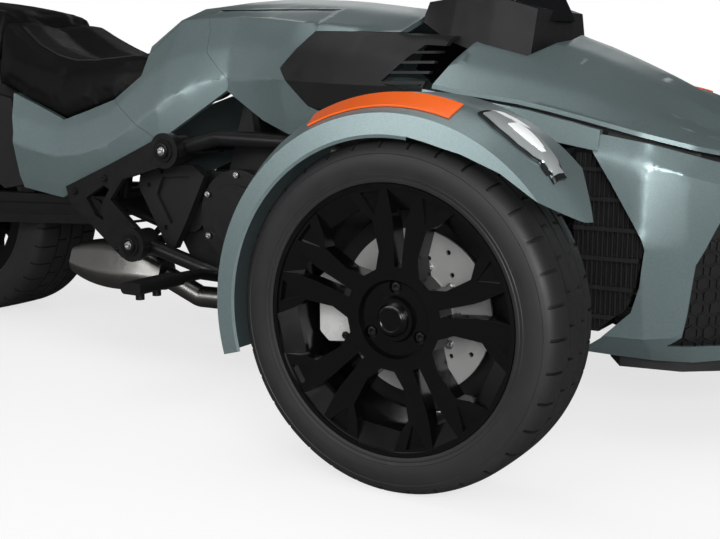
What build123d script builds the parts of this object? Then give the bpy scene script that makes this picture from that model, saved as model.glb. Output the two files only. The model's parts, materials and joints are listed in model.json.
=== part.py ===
"""Motor trike with two steered front wheels and one driven rear wheel, on a tubular frame.

Frame: +X forward, +Y to the rider's left, +Z up, origin on the ground at the middle of the length.
All sizes are in millimetres. Each function makes one named piece, and main() writes one STEP per piece.
"""

from build123d import *

import os
from math import atan2, cos, degrees, hypot, radians, sin

# Overall layout
LENGTH = 2642.0
WHEELBASE = 1709.0
FRONT_AXLE_X = 801.0
TRACK = 1308.0
HALF_TRACK = TRACK / 2
NOSE_X = LENGTH / 2
TAIL_X = -LENGTH / 2
REAR_AXLE_X = FRONT_AXLE_X - WHEELBASE

# Front wheel, written about its own centre with the outer face towards -Y
FRONT_TYRE_R = 281.0
FRONT_TYRE_W = 165.0
FRONT_RIM_R = 214.0
FRONT_RIM_W = 156.0
REAR_TYRE_R = 303.0
REAR_TYRE_W = 225.0
REAR_RIM_R = 214.0
REAR_RIM_W = 208.0
RIM_SEAT_R = 190.0
RIM_WALL = 9.0
FLANGE_T = 11.0
TYRE_FIT = 0.3
SPOKE_PAIRS = 5
SPOKE_PHASE_DEG = 84.0
LUG_COUNT = 3
LUG_PCD = 100.0
LUG_HOLE_R = 11.0
HUB_R = 76.0
HUB_FACE_Y = -58.0
SPOKE_EDGE_Y = -70.0
SPOKE_DEPTH = 28.0
CAP_R = 29.0
SPINDLE_R = 15.0
SPINDLE_FIT = 0.3
SEAT_GAP = 0.3

# Front brake, hub carrier and steering
DISC_R = 135.0
DISC_T = 5.0
DISC_Y = 14.0
DISC_HAT_R = 68.0
CALIPER_GAP = 5.0
KINGPIN_INSET = 65.0
KINGPIN_Y = HALF_TRACK - KINGPIN_INSET
UPPER_BALL_DZ = 105.0
LOWER_BALL_DZ = -95.0
STEER_ARM = 110.0
STEER_ARM_Z = 262.0
STEER_ARM_T = 14.0
LINK_R = 9.0
LINK_Z = STEER_ARM_Z + STEER_ARM_T / 2 + LINK_R + SEAT_GAP
BALL_R = 17.0
STAY_X = -70.0
STAY_Y = 104.0
STAY_R = 8.0

# Front fender, as a turned section about the front axle
FENDER_T = 5.0
FENDER_TOP_R = 350.0
FENDER_SHOULDER_R = 328.0
FENDER_LIP_R = 288.0
FENDER_OUT_Y = -94.0
FENDER_IN_Y = 88.0
FENDER_FRONT_DEG = 24.0
FENDER_REAR_DEG = 196.0
LAMP_FROM_DEG = 42.0
LAMP_TO_DEG = 66.0
REFLECTOR_FROM_DEG = 72.0
REFLECTOR_TO_DEG = 116.0
TRIM_T = 3.0

# Body panels
PANEL_T = 12.0
PANEL_GAP = 0.4
NOSE_T = 9.0
LID_T = 10.0
LID_CROWN = 0.04
BODY_CROWN = 0.05
SEAT_CROWN = 0.05
SECTION_STEP = 60.0
BODY_STEP = 75.0
LID_GAP = 5.0
LID_HINGE_X = 1206.0
LID_HINGE_Z = 500.0
LID_HINGE_R = 5.5
LID_FORK_R = 8.0
LID_HINGE_Y = 75.0
LID_PIN_R = 3.0
PIN_FIT = 0.1
DASH_FLOOR_Z = 690.0
DASH_TOP_Z = 806.0

# Frame tubes
FRAME_Y = 255.0
FRAME_TUBE_R = 17.0
RAIL_R = 17.0
ARM_R = 11.0
BOSS_R = 33.0
BOSS_T = 40.0
TOWER_Z = 520.0
SUBFRAME_Y = 190.0
UPPER_RAIL_X = 930.0
UPPER_RAIL_Z = 395.0
LOWER_RAIL_X = 962.0
LOWER_RAIL_Z = 210.0
SEAT_TUBE_Y = 95.0
SEAT_TUBE_R = 15.0
SEAT_TUBE = [(-17, -SEAT_TUBE_Y, 490), (-300, -SEAT_TUBE_Y, 470), (-700, -SEAT_TUBE_Y, 622),
             (-1000, -SEAT_TUBE_Y, 684)]
FRAME_BOSSES = [(-17, 490), (-123, 273)]
LOWER_RAIL = [(-123, -FRAME_Y, 273), (60, -FRAME_Y, 228), (300, -SUBFRAME_Y, 142), (600, -SUBFRAME_Y, 142),
              (670, -SUBFRAME_Y, LOWER_RAIL_Z), (LOWER_RAIL_X, -SUBFRAME_Y, LOWER_RAIL_Z)]
ENGINE_COVERS = [
    # x, z, radius, depth outside the case
    (125, 345, 104, 26),
    (125, 345, 70, 34),
    (310, 300, 52, 20),
    (-20, 340, 40, 14),
]

# Swing arm, belt drive and rear brake
PIVOT_X = -330.0
PIVOT_Z = 330.0
PIVOT_R = 26.0
BRIDGE_X = PIVOT_X - 90.0
BRIDGE_Z = 335.0
BRIDGE_R = 28.0
SWING_IN_Y = 156.0
SWING_T = 34.0
BELT_W = 24.0
BELT_T = 7.0
BELT_Y = 134.0
FRONT_PULLEY_R = 46.0
REAR_PULLEY_R = 104.0
BELT_FIT = 0.5

# Blank plate behind the rear wheel
PLATE_W = 178.0
PLATE_H = 102.0
PLATE_T = 6.0
PLATE_Z = 480.0
PLATE_HOLE_Y = 146.0
PLATE_HOLE_Z = 70.0
PLATE_HOLE_R = 3.5

# Steering column and handlebar
COLUMN_FOOT = (640.0, 0.0, 640.0)
COLUMN_HEAD = (520.0, 0.0, 930.0)
COLUMN_R = 22.0
BAR_R = 12.5
BAR_CLAMP_R = 16.0
BAR_CLAMP_Y = 62.0
GRIP_R = 18.0
GRIP_L = 130.0
BAR_POINTS = [(250, -400, 965), (420, -330, 985), (505, -120, 950), (505, 120, 950), (420, 330, 985),
              (250, 400, 965)]


def side_plane(y):
    """Plane whose local x runs forward and local y runs up, at a given distance to the left."""
    return Plane((0, y, 0), x_dir=(1, 0, 0), z_dir=(0, -1, 0))


def cross_plane(x):
    """Plane across the vehicle, local x to the left and local y up."""
    return Plane((x, 0, 0), x_dir=(0, 1, 0), z_dir=(1, 0, 0))


def plan_plane(z):
    """Horizontal plane, local x forward and local y to the left."""
    return Plane((0, 0, z))


def outline(points, shrink=0.0):
    """Flat face through the points, drawn in by a gap all round."""
    face = make_face(Polyline(*points, close=True))
    return offset(face, amount=-shrink, kind=Kind.INTERSECTION) if shrink else face


def side_prism(points, y_from, y_to, shrink=0.0):
    """Side-view outline of (x, z) points, thick from one y to a smaller y."""
    return extrude(side_plane(y_from) * outline(points, shrink), amount=y_from - y_to)


def cross_prism(points, x_from, x_to):
    """Front-view outline of (y, z) points, thick from one x to a larger x."""
    return extrude(cross_plane(x_from) * outline(points), amount=x_to - x_from)


def plan_prism(points, z_from, z_to):
    """Top-view outline of (x, y) points, thick from one z to a larger z."""
    return extrude(plan_plane(z_from) * outline(points), amount=z_to - z_from)


def box_between(low, high):
    """Box from its lowest corner to its highest one."""
    size = [b - a for a, b in zip(low, high)]
    centre = [(a + b) / 2 for a, b in zip(low, high)]
    return Pos(*centre) * Box(*size)


def rod(start, end, radius):
    """Straight round bar between two points."""
    start, end = Vector(*start), Vector(*end)
    return extrude(Plane(start, z_dir=end - start) * Circle(radius), amount=(end - start).length)


def tube(points, radius, bend):
    """Round bar along straight runs joined by tangent bends."""
    path = FilletPolyline(*points, radius=bend)
    return sweep(Plane(path @ 0, z_dir=path % 0) * Circle(radius), path=path)


def mirrored(shape):
    """The same piece on the other side of the vehicle."""
    return mirror(shape, about=Plane.XZ)


def both_sides(shape):
    """A right-hand piece with its left-hand twin, as separate solids."""
    return Compound(children=[*shape.solids(), *mirrored(shape).solids()])


def turned(points, arc=360.0, start=0.0):
    """Ring about the wheel axis from (radius, y) points, from one angle above forward round to another."""
    face = Plane.XY * make_face(Polyline(*points, close=True))
    ring = revolve(face, axis=Axis.Y, revolution_arc=arc)
    # A positive turn about +Y carries +X down, so the ring is turned back to end at its start angle.
    return Rot(0, -start - arc if arc < 360 else 0, 0) * ring


def half_section(x, half_points):
    """Closed cross-section from the (y, z) points of its left half, bottom first."""
    right = [(-y, z) for y, z in half_points]
    left = [(y, z) for y, z in reversed(half_points) if y > 0]
    return cross_plane(x) * outline(right + left)


def eased(rows, step):
    """Rows at about an even step in their first column, on curves through the given rows that never overshoot."""
    slopes = []
    for column in range(len(rows[0])):
        secants = [(b[column] - a[column]) / (b[0] - a[0]) for a, b in zip(rows, rows[1:])]
        inner = [2 * s * t / (s + t) if s * t > 0 else 0.0 for s, t in zip(secants, secants[1:])]
        slopes.append([secants[0], *inner, secants[-1]])
    result = [rows[0]]
    for index, (low, high) in enumerate(zip(rows, rows[1:])):
        span = high[0] - low[0]
        parts = max(1, round(abs(span) / step))
        for part in range(1, parts + 1):
            t = part / parts
            keep = (1 + 2 * t) * (1 - t) ** 2
            leave = t * (1 - t) ** 2 * span
            arrive = t * t * (t - 1) * span
            result.append(tuple(keep * a + (1 - keep) * b + leave * slope[index] + arrive * slope[index + 1]
                                for a, b, slope in zip(low, high, slopes)))
    return result


def crowned(points, crown):
    """Half-section with each run between its points bowed out by a share of its length."""
    result = [points[0]]
    for (y_a, z_a), (y_b, z_b) in zip(points, points[1:]):
        bow = crown * hypot(y_b - y_a, z_b - z_a)
        length = max(hypot(y_b - y_a, z_b - z_a), 1e-9)
        result.append(((y_a + y_b) / 2 + bow * (z_b - z_a) / length, (z_a + z_b) / 2 - bow * (y_b - y_a) / length))
        result.append((y_b, z_b))
    return result


def front_right(shape):
    """Places a piece written about the wheel's centre on the right front axle."""
    return Pos(FRONT_AXLE_X, -HALF_TRACK, FRONT_TYRE_R) * shape


# Wheels


def tyre(radius, width, rim_r, rim_w):
    """Tyre as a solid ring that fills the rim's well."""
    half, seat = width / 2, RIM_SEAT_R + TYRE_FIT
    well = rim_w / 2 - FLANGE_T - TYRE_FIT
    depth = radius - rim_r
    side = [
        (seat, well),
        (rim_r + TYRE_FIT, well),
        (rim_r + TYRE_FIT, rim_w / 2 - 2.0),
        (rim_r + 0.45 * depth, half),
        (rim_r + 0.78 * depth, half - 4.0),
        (radius - 5.0, half - 17.0),
        (radius, half - 40.0),
    ]
    return turned([*side, *[(r, -y) for r, y in reversed(side)]])


def rim_barrel(rim_r, rim_w):
    """Rim ring with its two flanges and a dropped well."""
    half, inner = rim_w / 2, RIM_SEAT_R - RIM_WALL
    side = [(inner, half), (rim_r, half), (rim_r, half - FLANGE_T), (RIM_SEAT_R, half - FLANGE_T)]
    return turned([*side, *[(r, -y) for r, y in reversed(side)]])


def polar(radius, across, angle):
    """Point on the wheel's face: a radius out along an angle, and a distance across it."""
    a = radians(angle)
    return radius * cos(a) - across * sin(a), radius * sin(a) + across * cos(a)


def face_cut(points, angle, y_from, y_to):
    """Window through the wheel's face from (radius, across) points, turned to an angle."""
    return side_prism([polar(r, w, angle) for r, w in points], y_to, y_from)


def spoke_face(face_y, edge_y, depth, reach):
    """Dished disc between hub and barrel that the spokes are cut from."""
    return turned([
        (reach, edge_y),
        (HUB_R, face_y),
        (SPINDLE_R + SPINDLE_FIT, face_y),
        (SPINDLE_R + SPINDLE_FIT, face_y + depth + 12.0),
        (HUB_R, face_y + depth + 12.0),
        (reach, edge_y + depth),
    ])


def front_rim():
    """Cast wheel of twin spokes: slots inside the pairs, six-sided windows between them."""
    reach = RIM_SEAT_R - RIM_WALL + 2.0
    wheel = spoke_face(HUB_FACE_Y, SPOKE_EDGE_Y, SPOKE_DEPTH, reach)
    slot = [(84, -6), (165, -13), (165, 13), (84, 6)]
    window = [(82, -13), (104, -33), (150, -48), (174, -34), (174, 34), (150, 48), (104, 33), (82, 13)]
    pocket = [(160, 27), (178, 22), (178, 41)]
    pitch = 360.0 / SPOKE_PAIRS
    for index in range(SPOKE_PAIRS):
        angle = SPOKE_PHASE_DEG + index * pitch
        wheel -= face_cut(slot, angle, -100.0, 20.0)
        wheel -= face_cut(window, angle + pitch / 2, -100.0, 20.0)
        for side in (1, -1):
            corner = [(r, side * w) for r, w in pocket]
            wheel -= face_cut(corner, angle, -100.0, SPOKE_EDGE_Y + 8.0)
    for index in range(LUG_COUNT):
        x, z = polar(LUG_PCD / 2, 0, 90.0 + index * 360.0 / LUG_COUNT)
        wheel -= Pos(x, HUB_FACE_Y, z) * Rot(90, 0, 0) * Cylinder(LUG_HOLE_R, 24.0)
    cap = turned([(0, HUB_FACE_Y - 10), (CAP_R - 6, HUB_FACE_Y - 10), (CAP_R, HUB_FACE_Y), (0, HUB_FACE_Y)])
    return wheel + cap + rim_barrel(FRONT_RIM_R, FRONT_RIM_W)


def brake_disc():
    """Drilled brake disc with its hat, behind the front wheel's spokes."""
    hat_y = HUB_FACE_Y + SPOKE_DEPTH + 12.0 + 0.3
    far = DISC_Y + DISC_T
    disc = turned([(SPINDLE_R + SPINDLE_FIT, hat_y), (DISC_HAT_R - 14, hat_y), (DISC_HAT_R, DISC_Y),
                   (DISC_R, DISC_Y), (DISC_R, far), (DISC_HAT_R - 8, far),
                   (DISC_HAT_R - 20, hat_y + 8), (SPINDLE_R + SPINDLE_FIT, hat_y + 8)])
    for index in range(24):
        x, z = polar(92.0 if index % 2 else 116.0, 0, index * 15.0)
        disc -= Pos(x, DISC_Y + DISC_T / 2, z) * Rot(90, 0, 0) * Cylinder(4.0, 4 * DISC_T)
    return disc


def rear_rim():
    """Rear wheel: wider barrel, plain twin spokes and the belt pulley on its left."""
    reach = RIM_SEAT_R - RIM_WALL + 2.0
    wheel = turned([(reach, -20), (SPINDLE_R + SPINDLE_FIT, -45), (SPINDLE_R + SPINDLE_FIT, 45), (reach, 20)])
    pitch = 360.0 / SPOKE_PAIRS
    window = [(62, -9), (110, -42), (172, -52), (172, 52), (110, 42), (62, 9)]
    for index in range(SPOKE_PAIRS):
        wheel -= face_cut(window, index * pitch, -80.0, 80.0)
    pulley_edge = BELT_Y + BELT_W / 2
    pulley = turned([
        (REAR_PULLEY_R, BELT_Y - BELT_W / 2), (REAR_PULLEY_R, pulley_edge),
        (REAR_PULLEY_R - 14, pulley_edge), (REAR_PULLEY_R - 14, BELT_Y), (SPINDLE_R + SPINDLE_FIT, BELT_Y),
        (SPINDLE_R + SPINDLE_FIT, 44.0), (50.0, 44.0), (50.0, BELT_Y - BELT_W / 2),
    ])
    return wheel + rim_barrel(REAR_RIM_R, REAR_RIM_W) + pulley


def rear_disc():
    """Rear brake disc on the wheel's right, joined to the hub by its hat."""
    inner = SPINDLE_R + SPINDLE_FIT
    return turned([(inner, -45.3), (58, -45.3), (58, -126), (120, -126), (120, -132), (46, -132), (46, -57),
                   (inner, -57)])


# Front hub carriers, brakes and fenders, written about the right front wheel's centre


def knuckle():
    """Hub carrier: kingpin post, spindle, the arm that the steering link pushes and the fender's stay."""
    reach = ARM_R + SEAT_GAP
    post = box_between((-17, KINGPIN_INSET - 18, LOWER_BALL_DZ + reach),
                       (17, KINGPIN_INSET + 18, UPPER_BALL_DZ - reach))
    carrier = rod((0, DISC_Y + DISC_T + 6, 0), (0, KINGPIN_INSET + 22, 0), 42.0)
    spindle = rod((0, HUB_FACE_Y + 2, 0), (0, KINGPIN_INSET, 0), SPINDLE_R)
    arm_z = STEER_ARM_Z - FRONT_TYRE_R
    arm = plan_prism([(0, KINGPIN_INSET - 20), (-STEER_ARM - 14, KINGPIN_INSET + 2),
                      (-STEER_ARM - 14, KINGPIN_INSET + 26), (0, KINGPIN_INSET + 20)],
                     arm_z - STEER_ARM_T / 2, arm_z + STEER_ARM_T / 2)
    ears = box_between((-150, 34, -20), (0, 52, 20))
    stay = tube([(STAY_X, 46, 5), (STAY_X, STAY_Y, 100), (STAY_X, STAY_Y, 298), (STAY_X, 30, 314)], STAY_R, 14.0)
    angle = degrees(atan2(314, STAY_X))
    pad = fender_skin(-FENDER_T - SEAT_GAP - 22.0, 22.0, 4, 6, angle - 4, angle + 4)
    return post + carrier + spindle + arm + ears + stay + pad


def caliper():
    """Four-piston brake caliper that straddles the disc behind the axle."""
    low, high = DISC_Y - 24.0, DISC_Y + DISC_T + 24.0
    body = [(-168, -46), (-150, -62), (-112, -58), (-92, -40), (-92, 40), (-112, 58), (-150, 62), (-168, 46)]
    block = fillet(side_prism(body, high, low).edges().filter_by(Axis.Y), 8.0)
    slot = turned([(0, DISC_Y - CALIPER_GAP), (DISC_R + CALIPER_GAP, DISC_Y - CALIPER_GAP),
                   (DISC_R + CALIPER_GAP, DISC_Y + DISC_T + CALIPER_GAP), (0, DISC_Y + DISC_T + CALIPER_GAP)])
    hold = box_between((-150, 33.5, -20.5), (0, 52.5, 20.5))
    return block - slot - hold


FENDER_SECTION = [
    # radius, y of the outer skin, from the outer lip over the crown to the inner lip
    (FENDER_LIP_R, FENDER_OUT_Y),
    (FENDER_SHOULDER_R - 8, FENDER_OUT_Y + 4),
    (FENDER_SHOULDER_R, FENDER_OUT_Y + 18),
    (FENDER_TOP_R - 3, FENDER_OUT_Y + 54),
    (FENDER_TOP_R, FENDER_OUT_Y + 84),
    (FENDER_TOP_R - 2, FENDER_IN_Y - 24),
    (FENDER_TOP_R - 22, FENDER_IN_Y),
]
FENDER_EDGE = [
    # x and z of the outer edge ahead of the crown, measured from the axle, and then its far corners
    (40, 286), (130, 263), (192, 238), (240, 206), (296, 173), (420, 120), (420, -200), (40, -200),
]


def fender_skin(proud, thick, first, last, start, end):
    """Part of the fender's turned section, lifted off the skin and given a thickness."""
    rows = FENDER_SECTION[first:last]
    outer = [(r + proud + thick, y - 0.4 * (proud + thick)) for r, y in rows]
    inner = [(r + proud, y - 0.4 * proud) for r, y in reversed(rows)]
    return turned([*outer, *inner], end - start, start)


def fender():
    """Front fender with its swept outer edge."""
    skin = fender_skin(-FENDER_T, FENDER_T, 0, len(FENDER_SECTION), FENDER_FRONT_DEG, FENDER_REAR_DEG)
    return skin - side_prism(FENDER_EDGE, 200.0, -200.0)


def fender_lamp():
    """Daylight lamp lens on the fender's front shoulder, pointed at both ends."""
    lens = fender_skin(0.3, TRIM_T, 2, 5, LAMP_FROM_DEG, LAMP_TO_DEG)
    leaf = [(108, 348), (150, 340), (236, 252), (276, 196), (236, 228), (150, 310)]
    return lens & side_prism(leaf, 200.0, -200.0)


def fender_reflector():
    """Amber side reflector along the fender's shoulder."""
    return fender_skin(0.3, TRIM_T, 2, 4, REFLECTOR_FROM_DEG, REFLECTOR_TO_DEG)


# Frame, suspension and drive


def main_frame():
    """Tubular frame: side tubes and lower rails that run on as the front subframe, tower, column and seat frame."""
    side = tube([(-17, -FRAME_Y, 490), (100, -FRAME_Y, 520), (330, -FRAME_Y, 515), (560, -SUBFRAME_Y, 455),
                 (640, -SUBFRAME_Y, UPPER_RAIL_Z), (UPPER_RAIL_X, -SUBFRAME_Y, UPPER_RAIL_Z)], FRAME_TUBE_R, 45.0)
    rail = tube(LOWER_RAIL, RAIL_R, 45.0)
    posts = [rod((x, -SUBFRAME_Y, LOWER_RAIL_Z), (x, -SUBFRAME_Y, UPPER_RAIL_Z), ARM_R + 1) for x in (658, 912)]
    tower = tube([(FRONT_AXLE_X, -SUBFRAME_Y, UPPER_RAIL_Z), (FRONT_AXLE_X, -262, TOWER_Z),
                  (FRONT_AXLE_X, 0, TOWER_Z)], 14.0, 25.0)
    bosses = [rod((x, -FRAME_Y - BOSS_T / 2, z), (x, -FRAME_Y + BOSS_T / 2, z), BOSS_R)
              for x, z in FRAME_BOSSES]
    seat_tube = tube(SEAT_TUBE, SEAT_TUBE_R, 60.0)
    hangers = [rod((-300, -SEAT_TUBE_Y, 470), (PIVOT_X, -SEAT_TUBE_Y, PIVOT_Z), 13.0),
               rod((PIVOT_X, -SEAT_TUBE_Y, PIVOT_Z), (-123, -SEAT_TUBE_Y, 273), 13.0)]
    bracket = box_between((180, -262, 520), (200, -180, 640)) & body_loft(PANEL_T + SEAT_GAP, 60)
    ledge = box_between((180, -255, 508), (200, -180, 528))
    half = side + [rail, tower, ledge, bracket, seat_tube, *posts, *bosses, *hangers]
    cross = [rod((x, -y, z), (x, y, z), radius)
             for x, z, y, radius in ((-17, 490, FRAME_Y, ARM_R), (-123, 273, FRAME_Y, ARM_R),
                                     (700, UPPER_RAIL_Z, SUBFRAME_Y, 13.0), (912, LOWER_RAIL_Z, SUBFRAME_Y, 13.0),
                                     (900, UPPER_RAIL_Z, SUBFRAME_Y, 13.0), (PIVOT_X, PIVOT_Z, 195.0, PIVOT_R))]
    link_x = FRONT_AXLE_X - STEER_ARM
    guides = [box_between((link_x - 11, y - 8, LINK_Z - 16), (link_x + 11, y + 8, UPPER_RAIL_Z))
              - rod((link_x, y - 9, LINK_Z), (link_x, y + 9, LINK_Z), LINK_R + SEAT_GAP) for y in (-110, 110)]
    foot, head = Vector(*COLUMN_FOOT), Vector(*COLUMN_HEAD)
    axis = (head - foot).normalized()
    column = rod(foot - axis * 110, foot - axis * SEAT_GAP, 27.0)
    brace = rod((700, 0, UPPER_RAIL_Z), foot - axis * 90, 20.0)
    shelf = box_between((640, -70, 556), (745, 70, 566))
    stands = [rod((728, y, 560), (728, y, DASH_FLOOR_Z - SEAT_GAP), 9.0) for y in (-55, 55)]
    return half + [mirrored(half), column, brace, shelf, *cross, *stands, *guides]


def side_plates():
    """Cast plates that tie the frame's upper and lower bosses together, with their cut-outs."""
    face_y = -FRAME_Y - BOSS_T / 2
    shape = [(20, 505), (-15, 528), (-190, 452), (-330, 395), (-318, 360), (-240, 300), (-160, 240), (-112, 236),
             (-88, 262), (-100, 300), (-190, 372), (-150, 420), (-10, 460), (25, 480)]
    window = [(-265, 372), (-210, 404), (-192, 396), (-222, 352), (-212, 322), (-238, 332)]
    plate = side_prism(shape, face_y, face_y - 14) - side_prism(window, face_y + 5, face_y - 30)
    caps = [rod((x, face_y - 3, z), (x, face_y - 24, z), BOSS_R + 6) for x, z in FRAME_BOSSES]
    return both_sides(plate + caps)


def a_arms():
    """Upper and lower wishbones on each side, open between their legs."""
    rows = (
        # inner pivots' x spread, inner z, outer ball z
        (85, LOWER_RAIL_Z, FRONT_TYRE_R + LOWER_BALL_DZ),
        (75, UPPER_RAIL_Z, FRONT_TYRE_R + UPPER_BALL_DZ),
    )
    pivot_y = SUBFRAME_Y + 34.0
    arms = []
    for spread, z_in, z_out in rows:
        arm = Pos(FRONT_AXLE_X, -KINGPIN_Y, z_out) * Cylinder(BALL_R, 2 * ARM_R)
        for sign in (1, -1):
            x = FRONT_AXLE_X + sign * spread
            z_end = z_out + (3.0 if z_out > FRONT_TYRE_R else -3.0)
            arm += rod((x, -pivot_y, z_in), (FRONT_AXLE_X, -KINGPIN_Y + 4, z_end), ARM_R)
            arm += rod((x - 16, -pivot_y, z_in), (x + 16, -pivot_y, z_in), 17.0)
            lug = rod((x, -SUBFRAME_Y - 8, z_in), (x, -pivot_y, z_in), 9.0)
            arm += lug - rod((x - 40, -SUBFRAME_Y, z_in), (x + 40, -SUBFRAME_Y, z_in), RAIL_R + SEAT_GAP)
        arms.append(arm)
    lower, upper = arms
    lower += rod((FRONT_AXLE_X - 45, -432, 203), (FRONT_AXLE_X + 45, -432, 203), 10.0)
    return Compound(children=[*both_sides(lower).solids(), *both_sides(upper).solids()])


def spring(foot, axis, start, end, turns, radius):
    """Coil spring as one ribbed sleeve along a damper."""
    pitch = (end - start) / turns
    profile = [(0.0, start)]
    for index in range(turns):
        at = start + index * pitch
        profile += [(radius - 7.0, at), (radius, at + 0.3 * pitch), (radius, at + 0.6 * pitch)]
    profile += [(radius - 7.0, end), (0.0, end)]
    sleeve = revolve(Plane.XZ * make_face(Polyline(*profile, close=True)), axis=Axis.Z)
    return Plane(foot, z_dir=axis) * sleeve


def front_shocks():
    """Front coil-over dampers between the lower wishbones and the tower."""
    foot, head = Vector(FRONT_AXLE_X, -430, 216), Vector(FRONT_AXLE_X, -276, TOWER_Z - 20)
    axis = (head - foot).normalized()
    length = (head - foot).length
    body = extrude(Plane(foot, z_dir=axis) * Circle(11.0), amount=length)
    body += extrude(Plane(foot + axis * 12, z_dir=axis) * Circle(19.0), amount=length * 0.5)
    body += spring(foot, axis, 42.0, length - 32.0, 9, 28.0)
    for place in (40, length - 36):
        body += extrude(Plane(foot + axis * place, z_dir=axis) * Circle(29.0), amount=6.0)
    body += rod((FRONT_AXLE_X - 14, foot.Y, foot.Z), (FRONT_AXLE_X + 14, foot.Y, foot.Z), 12.0)
    return both_sides(body - rod((FRONT_AXLE_X - 60, -432, 203), (FRONT_AXLE_X + 60, -432, 203), 10.3)
                      - rod((FRONT_AXLE_X, -SUBFRAME_Y, 395), (FRONT_AXLE_X, -262, TOWER_Z), RAIL_R + 0.3))


def steering_link():
    """Sliding centre link with a tie rod to each hub carrier's arm."""
    x = FRONT_AXLE_X - STEER_ARM
    y_end = KINGPIN_Y - 14.0
    link = rod((x, -y_end, LINK_Z), (x, y_end, LINK_Z), LINK_R)
    link += box_between((x - 14, -30, LINK_Z - 12), (x + 14, 30, LINK_Z + 12))
    for side in (1, -1):
        link += Pos(x, side * y_end, LINK_Z) * Cylinder(BALL_R - 2, 2 * LINK_R)
    return link


def engine():
    """Three-cylinder engine in line, as one block at its real place and size, with its round covers."""
    case = side_prism([(-70, 300), (-20, 215), (60, 188), (300, 188), (372, 240), (372, 380), (300, 440),
                       (20, 440), (-70, 400)], 195, -195)
    top = side_prism([(60, 430), (110, 600), (330, 610), (350, 430)], 170, -170)
    foot = box_between((-123 + ARM_R + SEAT_GAP, -60, 262), (-30, 60, 288))
    block = case + top + foot
    for side in (1, -1):
        for x, z, radius, depth in ENGINE_COVERS:
            block += rod((x, side * 190, z), (x, side * (195 + depth), z), radius)
        for index in range(6):
            px, pz = polar(93, 0, 30 + 60 * index)
            block += rod((125 + px, side * 200, 345 + pz), (125 + px, side * 226, 345 + pz), 7.0)
    return block


def engine_trim():
    """Black covers beside the engine: a plate with a raised frame and a sunk panel."""
    shape = [(-140, 448), (10, 456), (44, 432), (-6, 335), (-48, 262), (-70, 268), (-150, 400)]
    recess = [(-78, 425), (2, 430), (-34, 340), (-55, 318), (-96, 385)]
    plate = side_prism(shape, -214, -236) - side_prism(recess, -226, -260)
    for x, z in ((-78, 438), (-118, 405), (-70, 310)):
        plate -= rod((x, -228, z), (x, -245, z), 6.0)
    seats = [rod((x, -195 - SEAT_GAP, z), (x, -216, z), 10.0) for x, z in ((-48, 400), (-10, 404))]
    return both_sides(plate + seats)


def exhaust():
    """Collector pipe and low silencer on the right, hung from the frame."""
    pipe = tube([(372 + SEAT_GAP, -120, 300), (428, -120, 300), (428, -126, 142), (-30, -168, 142),
                 (-112, -190, 186)], 25, 26.0)
    can = loft([Plane((x, y, z), x_dir=(0, 1, 0), z_dir=(1, 0, 0)) * SlotOverall(width, height, rotation=70)
                for x, y, z, width, height in ((-400, -190, 205, 74, 54), (-330, -190, 203, 112, 76),
                                               (-200, -192, 200, 112, 76), (-112, -190, 190, 74, 58))])
    hook = rod((-200, -186, 236), (-200, -SEAT_TUBE_Y, 294), 8.0)
    hook -= rod((PIVOT_X, -SEAT_TUBE_Y, PIVOT_Z), (-123, -SEAT_TUBE_Y, 273), 13.0 + SEAT_GAP)
    return can + pipe + hook.solids().sort_by(Axis.Y)[0]


def swing_arm():
    """Box-section swing arm with the rear axle and the bridge that the rear damper stands on."""
    shape = [(PIVOT_X + 40, PIVOT_Z + 34), (PIVOT_X + 40, PIVOT_Z - 34), (REAR_AXLE_X + 60, 268),
             (REAR_AXLE_X - 40, 274), (REAR_AXLE_X - 52, 303), (REAR_AXLE_X - 40, 334), (REAR_AXLE_X + 120, 352)]
    arm = side_prism(shape, -SWING_IN_Y, -SWING_IN_Y - SWING_T)
    arm -= side_prism([(-420, 340), (-420, 312), (-770, 296), (-740, 330)], -SWING_IN_Y - 22, -SWING_IN_Y - 50)
    axle = rod((REAR_AXLE_X, -SWING_IN_Y - 24, REAR_TYRE_R), (REAR_AXLE_X, SWING_IN_Y + 24, REAR_TYRE_R), SPINDLE_R)
    bridge = rod((BRIDGE_X, -SWING_IN_Y - 4, BRIDGE_Z), (BRIDGE_X, SWING_IN_Y + 4, BRIDGE_Z), BRIDGE_R)
    return arm + [mirrored(arm), axle, bridge] - rod((PIVOT_X, -300, PIVOT_Z), (PIVOT_X, 300, PIVOT_Z),
                                                     PIVOT_R + SEAT_GAP)


def drive_belt():
    """Toothed drive belt as one loop round both pulleys."""
    def loop(grow):
        small = Pos(PIVOT_X, PIVOT_Z) * Circle(FRONT_PULLEY_R + grow)
        large = Pos(REAR_AXLE_X, REAR_TYRE_R) * Circle(REAR_PULLEY_R + grow)
        return make_hull(small.edges() + large.edges())
    y_from = BELT_Y + BELT_W / 2 - 2
    ring = extrude(side_plane(y_from) * loop(BELT_FIT + BELT_T), amount=BELT_W - 4)
    return ring - extrude(side_plane(y_from + 1) * loop(BELT_FIT), amount=BELT_W)


def drive_pulley():
    """Small pulley at the swing arm's pivot that the belt leaves from."""
    wheel = rod((PIVOT_X, BELT_Y - BELT_W / 2, PIVOT_Z), (PIVOT_X, BELT_Y + BELT_W / 2, PIVOT_Z), FRONT_PULLEY_R)
    return wheel - rod((PIVOT_X, 0, PIVOT_Z), (PIVOT_X, 300, PIVOT_Z), PIVOT_R + SEAT_GAP)


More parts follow.
